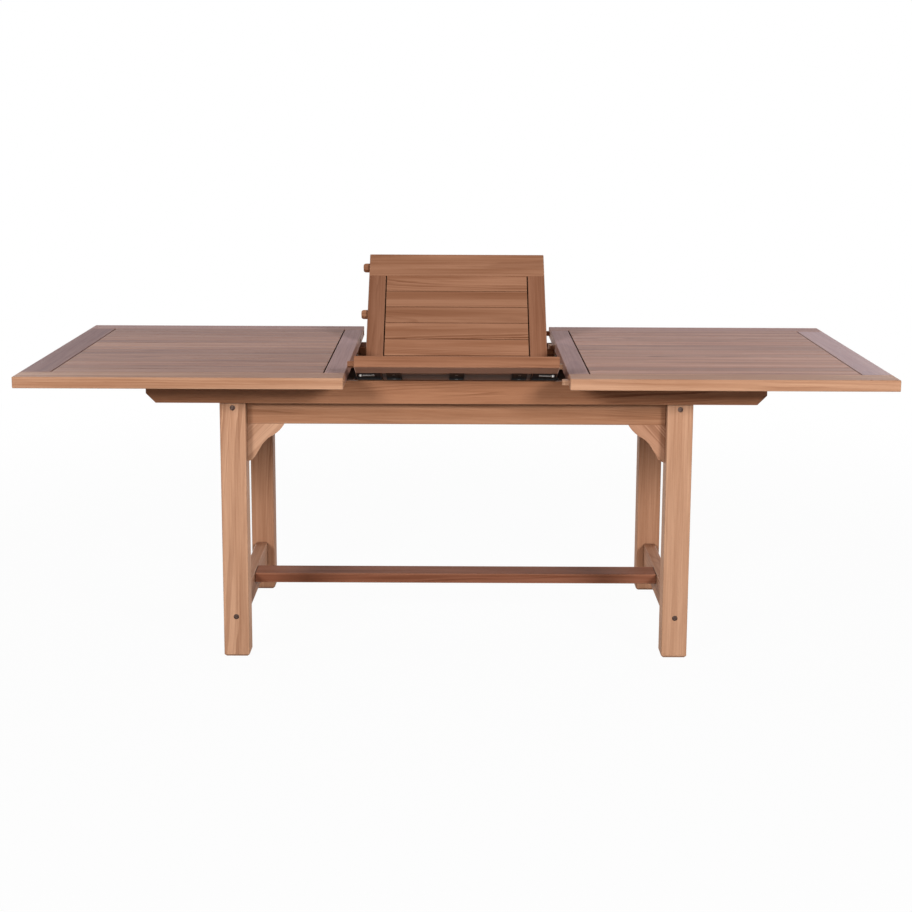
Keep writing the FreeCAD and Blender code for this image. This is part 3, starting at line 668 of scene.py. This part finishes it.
WARM_DUST = (0.86, 0.73, 0.84)
TAN_DUST = (0.92, 0.66, 0.58)
# the left half's slats take the shaded copy of the top's teak and the right half's the lit copy: painted light and
# shade
TOP_TEAK = TeakFinish("top_teak", (0.64, 0.595, 0.615), specular=0.06, sheen=0.075, sheen_tone=WARM_DUST,
                      variation=0.34, ring_strength=1.0, streak_strength=1.45)
LIT_TOP_TEAK = TeakFinish("lit_top_teak", (0.75, 0.705, 0.765), specular=0.06, sheen=0.085,
                           sheen_tone=WARM_DUST, variation=0.34, ring_strength=1.0, streak_strength=1.45)
# the front rails' wide pale edges are partly wear and partly a painted highlight along the arris
EDGE_TEAK = TeakFinish("edge_teak", (0.81, 0.80, 0.80), specular=0.08, sheen=0.05, sheen_tone=WARM_DUST,
                       variation=0.05, ring_strength=0.95, streak_strength=1.3, edge_width=0.003, wear_and_highlight=0.45)
REAR_RAIL_TEAK = TeakFinish("rear_rail_teak", (0.60, 0.55, 0.57), specular=0.05, sheen=0.09)
STILE_TEAK = TeakFinish("stile_teak", (0.50, 0.45, 0.46), specular=0.05, sheen=0.11)
# the left outer stile takes the shaded copy and the right outer stile the lit copy: painted light and shade
SHADED_STILE_TEAK = TeakFinish("shaded_stile_teak", (0.37, 0.32, 0.335), specular=0.04, sheen=0.07)
LIT_STILE_TEAK = TeakFinish("lit_stile_teak", (0.53, 0.48, 0.49), specular=0.12, sheen=0.15)
LEG_TEAK = TeakFinish("leg_teak", (0.76, 0.755, 0.755), specular=0.15, streak_strength=0.6)
# darker than the front legs: painted shade, as the top and aprons shade the rear legs
SHADED_REAR_LEG_TEAK = TeakFinish("shaded_rear_leg_teak", (0.68, 0.62, 0.59), specular=0.1, streak_strength=0.6)
MELLOW_TEAK = TeakFinish("mellow_teak", (0.65, 0.61, 0.61), specular=0.1, ring_strength=0.7)
RAIL_TEAK = TeakFinish("rail_teak", (0.60, 0.54, 0.50), specular=0.08, ring_strength=0.8)
RUNNER_TEAK = TeakFinish("runner_teak", (0.55, 0.45, 0.39), specular=0.08, ring_strength=0.8)
# darker than its wood: painted shade from the top over it; its wide pale edges are partly a painted highlight
SHADED_STRETCHER_TEAK = TeakFinish("shaded_stretcher_teak", (0.44, 0.31, 0.29), specular=0.05, ring_strength=0.8,
                            edge_width=0.006, wear_and_highlight=0.9)
LEAF_TEAK = TeakFinish("leaf_teak", (0.65, 0.56, 0.53), specular=0.04, ring_strength=0.8,
                       streak_strength=1.15)
LEAF_STILE_TEAK = TeakFinish("leaf_stile_teak", (0.51, 0.415, 0.39), specular=0.04)
LEAF_EDGE_TEAK = TeakFinish("leaf_edge_teak", (0.47, 0.38, 0.34), specular=0.04, sheen=0.3,
                            sheen_tone=TAN_DUST, ring_strength=0.8)
PALE_TEAK = TeakFinish("pale_teak", (0.82, 0.83, 0.85), specular=0.15)
# near black: a dark stain on the bearers and the leaf's battens that also paints the deep shade they lie in
DARK_STAIN_AND_SHADE = TeakFinish("dark_stain", (0.06, 0.06, 0.065), specular=0.04)
BLACK_STEEL = MetalFinish("black_steel", linear(40, 37, 38), linear(58, 52, 52), metallic=0.0, roughness=0.42)
AGED_STEEL = MetalFinish("aged_steel", linear(112, 92, 84), linear(70, 54, 50), metallic=1.0, roughness=0.38)
SATIN_STEEL = MetalFinish("satin_steel", linear(118, 115, 112), linear(94, 90, 87), metallic=1.0,
                          roughness=0.4)
BRIGHT_STEEL = MetalFinish("bright_steel", linear(152, 150, 148), linear(118, 114, 110), metallic=1.0,
                           roughness=0.34)


@dataclass
class Workshop:
    """The shared effects and materials, and the CAD nodes that they go on.

    Attributes:
        nodes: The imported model's objects by name.
        grain: The teak grain effect.
        rubbed: The handling marks effect.
        metals: The metal materials made so far, by finish.
        boards: How many wooden nodes have been dressed so far.
    """

    nodes: dict[str, bpy.types.Object]
    grain: EffectGroup
    rubbed: EffectGroup
    metals: dict[str, bpy.types.Material] = field(default_factory=dict)
    boards: int = 0

    seed_step: ClassVar[float] = 3.17

    def middle(self, node: str) -> Triple:
        """Find the middle of a node's box."""
        low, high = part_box(node)
        return tuple((low + high) / 2)

    def paint(self, node: str, material: bpy.types.Material) -> None:
        """Put a material in all of a node's slots.

        Args:
            node: The node's name.
            material: The material.
        """
        for slot in self.nodes[node].material_slots:
            slot.material = material
        log.info("%s dressed in %s", node, material.name)

    def teak(self, node: str, finish: TeakFinish, board: Board | None = None, grain: Grain = Grain.LENGTHWISE,
             tilt: float = 0.0) -> None:
        """Dress a wooden node.

        Args:
            node: The node's name.
            finish: Its teak.
            board: How its boards lie, or None for one board about its own middle.
            grain: Which way that one board's grain runs.
            tilt: That board's turn about X, in radians.
        """
        self.boards += 1
        seed = self.boards * self.seed_step
        lie = board or Board(self.middle(node), grain, tilt)
        self.paint(node, finish.material(f"{finish.name}_{node}", seed, lie, self.grain))

    def metal(self, finish: MetalFinish) -> bpy.types.Material:
        """Give the material of a metal finish, made once.

        Args:
            finish: The finish.

        Returns:
            The material.
        """
        if finish.name not in self.metals:
            self.metals[finish.name] = finish.material(self.rubbed)
        return self.metals[finish.name]

    def steel(self, node: str, finish: MetalFinish) -> None:
        """Dress a metal node."""
        self.paint(node, self.metal(finish))


@dataclass
class Screws:
    """A set of countersunk screws with crossed slots.

    Attributes:
        name: The set's name.
        body: The body that it moves with.
        places: Where each head lies, as a matrix whose Z points out of the face.
        radius: The head's radius.
        proud: How far its face stands out.
        sunk: How far its rim goes into the face.
        slot_reach_share: How far the slots reach from the middle, as a share of the radius.
        slot_width_share: Half the slots' width, as a share of the radius.
        slot_depth: The slots' depth.
        sides: How many sides the round head has.
    """

    name: str
    body: str
    places: list[Matrix]
    radius: float = 0.0038
    proud: float = 0.00015
    sunk: float = 0.0006
    slot_reach_share: float = 0.55
    slot_width_share: float = 0.16
    slot_depth: float = 0.0006
    sides: int = 20

    def circle(self) -> list[Vector]:
        """List the corners of the head's rim, once round."""
        step = math.tau / self.sides
        return [Vector((math.cos(step * i), math.sin(step * i), 0)) * self.radius for i in range(self.sides)]

    def cross(self) -> list[Vector]:
        """List the corners of the crossed slots, once round.

        Returns:
            The corners, on the head's face.
        """
        reach = self.radius * self.slot_reach_share
        half = self.radius * self.slot_width_share
        arm = (Vector((reach, -half, 0)), Vector((reach, half, 0)), Vector((half, half, 0)))
        turns = [Matrix.Rotation(QUARTER_TURN * quarter, 3, "Z") for quarter in range(4)]
        return [turn @ corner for turn in turns for corner in arm]

    def add_head(self, mesh: bmesh.types.BMesh, place: Matrix) -> None:
        """Add one screw head: its face with the slots, its sunk rim and the slots' floor.

        Args:
            mesh: The mesh that takes it.
            place: Where the head lies.
        """
        def ring(points: list[Vector], height: float) -> list[bmesh.types.BMVert]:
            """Add points at a height over the face."""
            return [mesh.verts.new(place @ Vector((point.x, point.y, height))) for point in points]

        circle, cross = self.circle(), self.cross()
        rim, slot = ring(circle, self.proud), ring(cross, self.proud)
        edges = [mesh.edges.new(pair) for upper in (rim, slot) for pair in zip(upper, upper[1:] + upper[:1])]
        bmesh.ops.triangle_fill(mesh, use_beauty=True, edges=edges, normal=(0, 0, 0))
        for upper, points, height in ((rim, circle, -self.sunk), (slot, cross, self.proud - self.slot_depth)):
            lower = ring(points, height)
            for wall in zip(upper, lower, lower[1:] + lower[:1], upper[1:] + upper[:1]):
                mesh.faces.new(wall)
            mesh.faces.new(lower)

    def build(self, shop: Workshop) -> None:
        """Build the screws in bright steel and let them ride.

        Args:
            shop: The shared effects and materials.
        """
        mesh = bmesh.new()
        for place in self.places:
            self.add_head(mesh, place)
        bmesh.ops.recalc_face_normals(mesh, faces=mesh.faces)
        data = bpy.data.meshes.new(self.name)
        mesh.to_mesh(data)
        mesh.free()
        data.materials.append(shop.metal(BRIGHT_STEEL))
        piece = bpy.data.objects.new(self.name, data)
        bpy.context.scene.collection.objects.link(piece)
        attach(piece, self.body)
        log.info("%s rides on %s with %d screws", self.name, self.body, len(self.places))


def batten_middles(node: str) -> list[float]:
    """Find the middle of each batten of a node along X, from left to right."""
    edges = sorted({round(vertex.co.x, EDGE_DECIMALS) for vertex in frame["nodes"][node].data.vertices})
    return [(left + right) / 2 for left, right in zip(edges[::2], edges[1::2])]


@dataclass
class Base:
    """The legs, rails, runners, brackets and pivot plates.

    Attributes:
        plate_thick: The pivot plates' thickness.
        screw_spread: How far a plate's screws lie from its middle.
        screw_rise: Their height over its lower edge.
    """

    plate_thick: float = 0.006
    screw_spread: float = 0.011
    screw_rise: float = 0.0215

    def dress(self, shop: Workshop) -> None:
        """Dress each piece with the grain along its length.

        Args:
            shop: The shared effects and materials.
        """
        brackets = ((Grain.RISING, PALE_TEAK), (Grain.FALLING, MELLOW_TEAK))
        # the rear legs take the darker copy of the legs' teak, as painted shade
        for face, leg in (("front", LEG_TEAK), ("rear", SHADED_REAR_LEG_TEAK)):
            shop.teak(f"runner_{face}", RUNNER_TEAK)
            shop.teak(f"apron_{face}", RAIL_TEAK)
            for side, (grain, finish) in zip(Side, brackets):
                shop.teak(f"leg_{face}_{side}", leg, grain=Grain.UPRIGHT)
                shop.teak(f"bracket_{face}_{side}", finish, grain=grain)
        crosswise = (("end_rail", RAIL_TEAK), ("side_stretcher", MELLOW_TEAK), ("bearer", DARK_STAIN_AND_SHADE))
        for side in Side:
            for name, finish in crosswise:
                shop.teak(f"{name}_{side}", finish, grain=Grain.CROSSWISE)
            shop.steel(f"pivot_plate_{side}", BLACK_STEEL)
        shop.teak("long_stretcher", SHADED_STRETCHER_TEAK)
        shop.steel("leg_bolts", AGED_STEEL)

    def screw_places(self) -> list[Matrix]:
        """Find the screws that hold the pivot plates to the bearers.

        Returns:
            Their places, with Z towards the leaf.
        """
        places = []
        for side in Side:
            low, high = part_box(f"pivot_plate_{side}")
            left = side is Side.LEFT
            x = low.x + self.plate_thick if left else high.x - self.plate_thick
            inward = Matrix.Rotation(QUARTER_TURN if left else -QUARTER_TURN, 4, "Y")
            for offset in (-self.screw_spread, self.screw_spread):
                spot = (x, (low.y + high.y) / 2 + offset, low.z + self.screw_rise)
                places.append(Matrix.Translation(spot) @ inward)
        return places

    def build(self, shop: Workshop) -> None:
        """Add the pivot plates' screws."""
        Screws("pivot_plate_screws", "base", self.screw_places()).build(shop)


@dataclass
class HalfTop:
    """One half of the table's top.

    Attributes:
        side: Which end of the table it is.
        top: The teak of its slats.
        outer: The teak of its outer stile.
        slat_count: How many slats its panel has.
    """

    side: Side
    top: TeakFinish = TOP_TEAK
    outer: TeakFinish = SHADED_STILE_TEAK
    slat_count: int = 14

    def panel(self) -> tuple[float, float]:
        """Measure the panel of slats between the rails.

        Returns:
            The panel's front edge and the pitch of its slats.
        """
        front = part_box(f"{self.side}_front_rail")[1].y
        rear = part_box(f"{self.side}_rear_rail")[0].y
        return front, (rear - front) / self.slat_count

    def dress(self, shop: Workshop) -> None:
        """Dress the frame, the slats and the fittings.

        Args:
            shop: The shared effects and materials.
        """
        front, pitch = self.panel()
        shop.teak(f"{self.side}_front_rail", EDGE_TEAK)
        shop.teak(f"{self.side}_rear_rail", REAR_RAIL_TEAK)
        crosswise = (("outer_stile", self.outer), ("inner_stile", STILE_TEAK), ("battens", STILE_TEAK))
        for name, finish in crosswise:
            shop.teak(f"{self.side}_{name}", finish, grain=Grain.CROSSWISE)
        slats = f"{self.side}_slats"
        x, _, z = shop.middle(slats)
        shop.teak(slats, self.top, Board((x, front, z), Grain.LENGTHWISE, pitch=pitch))
        shop.teak(f"{self.side}_slide_bars", RAIL_TEAK)
        shop.steel(f"{self.side}_latch_post", BRIGHT_STEEL)
        if f"{self.side}_tongues" in shop.nodes:
            shop.teak(f"{self.side}_tongues", PALE_TEAK)

    def screw_places(self) -> list[Matrix]:
        """Find the batten screws, one under each slat.

        Returns:
            Their places, with Z downwards.
        """
        front, pitch = self.panel()
        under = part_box(f"{self.side}_battens")[0].z
        return [Matrix.Translation((x, front + pitch * (k + 0.5), under)) @ FACE_DOWN
                for x in batten_middles(f"{self.side}_battens") for k in range(self.slat_count)]

    def build(self, shop: Workshop) -> None:
        """Add the batten screws."""
        Screws(f"{self.side}_batten_screws", f"{self.side}_top", self.screw_places()).build(shop)


@dataclass
class LeafHalf:
    """One half of the butterfly leaf.

    Attributes:
        name: leaf_rear or leaf_front.
        way: 1 for the rear half and -1 for the front half.
        tilt: Its turn about X at rest, in radians.
        hinge: The hinge line's point at X zero.
        pitch: The pitch of its slats, and the width of the rail between them and the hinge line.
        hinge_xs: Where the hinges lie along the line.
        outer: The teak of its outer rail.
        shaded: Whether its stiles are painted near black below, as shade, where the hooks lie.
        slat_count: How many slats it has.
        thick: How far the battens' undersides lie under its upper face.
        hinge_rise: How far the hinge line lies over its upper face.
        hinge_leaf: How far a hinge reaches from the line.
        hinge_screw_radius: The radius of the hinges' screws.
        screw_in: How far they lie from the hinge's edge.
        screw_spread: How far apart they lie.
    """

    name: str
    way: int
    tilt: float
    hinge: Vector
    pitch: float
    hinge_xs: tuple[float, ...]
    outer: TeakFinish
    stained: bool
    slat_count: int = 6
    thick: float = 0.028
    hinge_rise: float = 0.0006
    hinge_leaf: float = 0.026
    hinge_screw_radius: float = 0.003
    screw_in: float = 0.009
    screw_spread: float = 0.022

    def frame_matrix(self) -> Matrix:
        """Give the turn and place that pose the flat half."""
        return Matrix.Translation(self.hinge) @ Matrix.Rotation(self.tilt, 4, "X")

    def dress(self, shop: Workshop) -> None:
        """Dress the frame, the slats and the fittings.

        Args:
            shop: The shared effects and materials.
        """
        lengthwise = (("outer_rail", self.outer), ("hinge_rail", LEAF_TEAK), ("tongues", LEAF_TEAK))
        for name, finish in lengthwise:
            shop.teak(f"{self.name}_{name}", finish, tilt=self.tilt)
        # the front half's stiles are painted near black on their downward faces, as shade
        down = tuple(self.frame_matrix().to_3x3() @ Vector((0, 0, -1)))
        for side in Side:
            node = f"{self.name}_{side}_stile"
            board = Board(shop.middle(node), Grain.CROSSWISE, self.tilt,
                          shaded_side=down if self.stained else None)
            shop.teak(node, LEAF_STILE_TEAK, board)
        panel = Board(tuple(self.hinge), Grain.LENGTHWISE, self.tilt, self.pitch)
        shop.teak(f"{self.name}_slats", LEAF_TEAK, panel)
        shop.teak(f"{self.name}_battens", DARK_STAIN_AND_SHADE, grain=Grain.CROSSWISE, tilt=self.tilt)
        shop.steel(f"{self.name}_hinges", SATIN_STEEL)

    def hinge_screw_places(self) -> list[Matrix]:
        """Find the hinges' screws.

        Returns:
            Their places, with Z out of the upper face.
        """
        y = self.way * (self.hinge_leaf - self.screw_in)
        xs = [x + offset for x in self.hinge_xs for offset in (-self.screw_spread, 0.0, self.screw_spread)]
        return [self.frame_matrix() @ Matrix.Translation((x, y, -self.hinge_rise)) for x in xs]

    def batten_screw_places(self) -> list[Matrix]:
        """Find the batten screws, one under each slat.

        Returns:
            Their places, with Z out of the lower face.
        """
        pose = self.frame_matrix()
        under = -self.hinge_rise - self.thick
        ys = [self.way * self.pitch * (k + 0.5) for k in range(1, self.slat_count + 1)]
        return [pose @ Matrix.Translation((x, y, under)) @ FACE_DOWN
                for x in batten_middles(f"{self.name}_battens") for y in ys]

    def build(self, shop: Workshop) -> None:
        """Add the hinge and batten screws.

        Args:
            shop: The shared effects and materials.
        """
        radius = self.hinge_screw_radius
        Screws(f"{self.name}_hinge_screws", self.name, self.hinge_screw_places(), radius).build(shop)
        Screws(f"{self.name}_batten_screws", self.name, self.batten_screw_places()).build(shop)


@dataclass
class ButterflyLeaf:
    """The leaf, its pivot ears and its latches.

    Attributes:
        hinge_count: How many hinges join the halves.
        hinge_length: A hinge's length.
        ear_screw_x: How far the ears' screws lie from the leaf's middle.
        ear_screw_ys: How far they lie from the hinge line.
        ear_flange_low: How far the flanges' undersides lie under that line.
    """

    hinge_count: int = 3
    hinge_length: float = 0.06
    ear_screw_x: float = 0.219
    ear_screw_ys: tuple[float, ...] = (0.106, 0.174)
    ear_flange_low: float = 0.0326

    def halves(self) -> list[LeafHalf]:
        """Work out both halves from the joints.

        Returns:
            The rear half and the front half.
        """
        joints = {joint["name"]: joint for joint in frame["joints"]}
        coupling = frame["record"]["behaviour"]["couplings"][0]
        tilt = -math.radians(joints["leaf_pivot"]["range_deg"][0])
        front_tilt = tilt * (1 + coupling["ratio"])
        hinge = Vector(joints["leaf_fold"]["pos_m"])
        pitch = HalfTop(Side.LEFT).panel()[1]
        low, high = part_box("leaf_rear_hinges")
        step = (high.x - low.x - self.hinge_length) / (self.hinge_count - 1)
        xs = tuple(low.x + self.hinge_length / 2 + step * i for i in range(self.hinge_count))
        return [LeafHalf("leaf_rear", 1, tilt, hinge, pitch, xs, LEAF_TEAK, stained=False),
                LeafHalf("leaf_front", -1, front_tilt, hinge, pitch, xs, LEAF_EDGE_TEAK, stained=True)]

    def dress(self, shop: Workshop) -> None:
        """Dress both halves, the ears and the latches.

        Args:
            shop: The shared effects and materials.
        """
        for half in self.halves():
            half.dress(shop)
        for side in Side:
            shop.steel(f"leaf_ear_{side}", BLACK_STEEL)
            shop.steel(f"latch_hook_{side}", BRIGHT_STEEL)
        shop.steel("latch_screws", BRIGHT_STEEL)

    def ear_screw_places(self, rear: LeafHalf) -> list[Matrix]:
        """Find the screws in the ears' flanges.

        Args:
            rear: The rear half, which the ears are under.

        Returns:
            Their places, with Z out of the flanges.
        """
        pose = rear.frame_matrix()
        return [pose @ Matrix.Translation((x, y, -self.ear_flange_low)) @ FACE_DOWN
                for x in (-self.ear_screw_x, self.ear_screw_x) for y in self.ear_screw_ys]

    def build(self, shop: Workshop) -> None:
        """Add the screws of the ears and of both halves.

        Args:
            shop: The shared effects and materials.
        """
        halves = self.halves()
        for half in halves:
            half.build(shop)
        Screws("leaf_ear_screws", "leaf_rear", self.ear_screw_places(halves[0])).build(shop)


@dataclass
class Lamp:
    """A soft lamp.

    Attributes:
        name: The lamp's name.
        place: Where it stands.
        size: The side of its square.
        power: Its power in watts.
    """

    name: str
    place: Triple
    size: float
    power: float

    def build(self, aim: Vector) -> None:
        """Hang the lamp.

        Args:
            aim: The point that it is turned to.
        """
        data = bpy.data.lights.new(self.name, "AREA")
        data.size = self.size
        data.energy = self.power
        lamp = bpy.data.objects.new(self.name, data)
        lamp.location = self.place
        lamp.rotation_euler = (aim - Vector(self.place)).to_track_quat("-Z", "Y").to_euler()
        bpy.context.scene.collection.objects.link(lamp)


@dataclass(frozen=True)
class FloorFinish:
    """A pale floor that keeps the object's shadow and looks white.

    Attributes:
        name: The finish's name.
        tone: The tone that lights the object from below.
        roughness: The floor's roughness.
        white_share: How much of it looks white near the object, where the rest shows the shadow.
        mirror_share: How much of it looks white there in a mirror.
        near: How far from the middle it begins to look wholly white.
        far: How far from the middle it looks wholly white.
    """

    name: str = "pale_floor"
    tone: Colour = (0.5, 0.5, 0.5)
    roughness: float = 0.9
    white_share: float = 0.965
    mirror_share: float = 0.25
    near: float = 1.4
    far: float = 4.0

    def material(self) -> bpy.types.Material:
        """Make the material, which can't be seen from below.

        Returns:
            The material.
        """
        material, bench, shader = start_material(self.name)
        plain = {"Base Color": self.tone, "Roughness": self.roughness, "Specular IOR Level": 0.0}
        bench.feed_all(shader, plain)
        path = bench.add("ShaderNodeLightPath").outputs
        away = bench.remap(bench.measure("LENGTH", bench.where()), self.near, self.far)
        seen = bench.product(bench.lifted(away, self.white_share), path["Is Camera Ray"])
        mirrored = bench.math("MAXIMUM", path["Is Glossy Ray"], path["Is Transmission Ray"])
        mirrored = bench.product(mirrored, bench.lifted(away, self.mirror_share))
        share = bench.math("MAXIMUM", seen, mirrored)
        upper = bench.blend(share, shader.outputs[0], bench.add("ShaderNodeEmission").outputs[0])
        below = bench.add("ShaderNodeNewGeometry").outputs["Backfacing"]
        surface = bench.blend(below, upper, bench.add("ShaderNodeBsdfTransparent").outputs[0])
        bench.feed(material.node_tree.nodes["Material Output"].inputs["Surface"], surface)
        return material


@dataclass
class Studio:
    """The camera, the floor, the lamps and the white surroundings.

    Attributes:
        eye: Where the camera stands.
        yaw: Its turn about Z, in radians.
        pitch: Its turn about X, in radians.
        roll: Its turn about its line of sight, in radians.
        focal_pixels: Its focal length in the photograph's pixels.
        centre_pixels: Where its axis meets the photograph.
        picture_pixels: The photograph's width and height.
        sensor: The width of the sensor, in millimetres.
        floor_half: Half the floor's side.
        floor: The floor's finish.
        ambient: How bright the surroundings are as light.
        aim: The point that the lamps are turned to.
        lamps: The lamps.
    """

    eye: Triple = (-0.00525, -4.63797, 1.40101)
    yaw: float = -0.0024
    pitch: float = -0.18
    roll: float = -0.0045
    focal_pixels: float = 1734.17
    centre_pixels: tuple[float, float] = (458.49, 420.26)
    picture_pixels: float = 912.0
    sensor: float = 36.0
    floor_half: float = 40.0
    floor: FloorFinish = FloorFinish()
    ambient: float = 0.015
    aim: Triple = (0.0, -0.2, 0.6)
    lamps: tuple[Lamp, ...] = (
        Lamp("key_left", (-3.3, -5.05, 2.65), size=1.5, power=258.0),
        Lamp("key_right", (3.3, -5.05, 2.65), size=1.5, power=276.0),
        Lamp("fill_left", (-3.8, 4.6, 1.7), size=2.0, power=170.0),
        Lamp("fill_right", (3.8, 4.6, 1.7), size=2.0, power=170.0),
    )

    def add_camera(self) -> None:
        """Place the camera as the photograph was taken."""
        data = bpy.data.cameras.new("camera")
        data.sensor_fit = "HORIZONTAL"
        data.sensor_width = self.sensor
        data.lens = self.sensor * self.focal_pixels / self.picture_pixels
        half = self.picture_pixels / 2
        data.shift_x = (half - self.centre_pixels[0]) / self.picture_pixels
        data.shift_y = (self.centre_pixels[1] - half) / self.picture_pixels
        turn = (Matrix.Rotation(self.yaw, 3, "Z") @ Matrix.Rotation(self.pitch, 3, "X")
                @ Matrix.Rotation(self.roll, 3, "Y"))
        right, ahead, up = turn.col
        camera = bpy.data.objects.new("camera", data)
        camera.matrix_world = Matrix.Translation(self.eye) @ Matrix((right, up, -ahead)).transposed().to_4x4()
        bpy.context.scene.collection.objects.link(camera)
        bpy.context.scene.camera = camera

    def add_floor(self) -> None:
        """Lay the floor."""
        half = self.floor_half
        corners = [(-half, -half, 0), (half, -half, 0), (half, half, 0), (-half, half, 0)]
        data = bpy.data.meshes.new("floor")
        data.from_pydata(corners, [], [range(len(corners))])
        data.materials.append(self.floor.material())
        floor = bpy.data.objects.new("floor", data)
        floor.visible_shadow = False
        bpy.context.scene.collection.objects.link(floor)

    def add_surroundings(self) -> None:
        """Make the world white to look at and a soft grey as light."""
        world = bpy.data.worlds.new("studio")
        world.use_nodes = True
        bpy.context.scene.world = world
        bench = NodeBench(world.node_tree)
        path = bench.add("ShaderNodeLightPath").outputs
        seen = bench.math("MAXIMUM", path["Is Camera Ray"], path["Is Glossy Ray"])
        seen = bench.math("MAXIMUM", seen, path["Is Transmission Ray"])
        bench.feed_all(world.node_tree.nodes["Background"], {
            "Color": (1.0, 1.0, 1.0), "Strength": bench.lifted(seen, self.ambient),
        })

    def build(self) -> None:
        """Set up the studio."""
        self.add_camera()
        self.add_floor()
        self.add_surroundings()
        for lamp in self.lamps:
            lamp.build(Vector(self.aim))
        bpy.context.scene.view_settings.view_transform = "Standard"


def main() -> None:
    """Build the studio, dress the table and report its pieces."""
    logging.basicConfig(level=logging.INFO)
    shop = Workshop(frame["nodes"], TeakGrain(), RubbedMetal())
    Studio().build()
    # the right half takes the lit copies of the slats' and outer stile's teak: painted light
    right = HalfTop(Side.RIGHT, LIT_TOP_TEAK, LIT_STILE_TEAK)
    for assembly in (Base(), HalfTop(Side.LEFT), right, ButterflyLeaf()):
        assembly.dress(shop)
        assembly.build(shop)


if __name__ == "__main__":
    main()
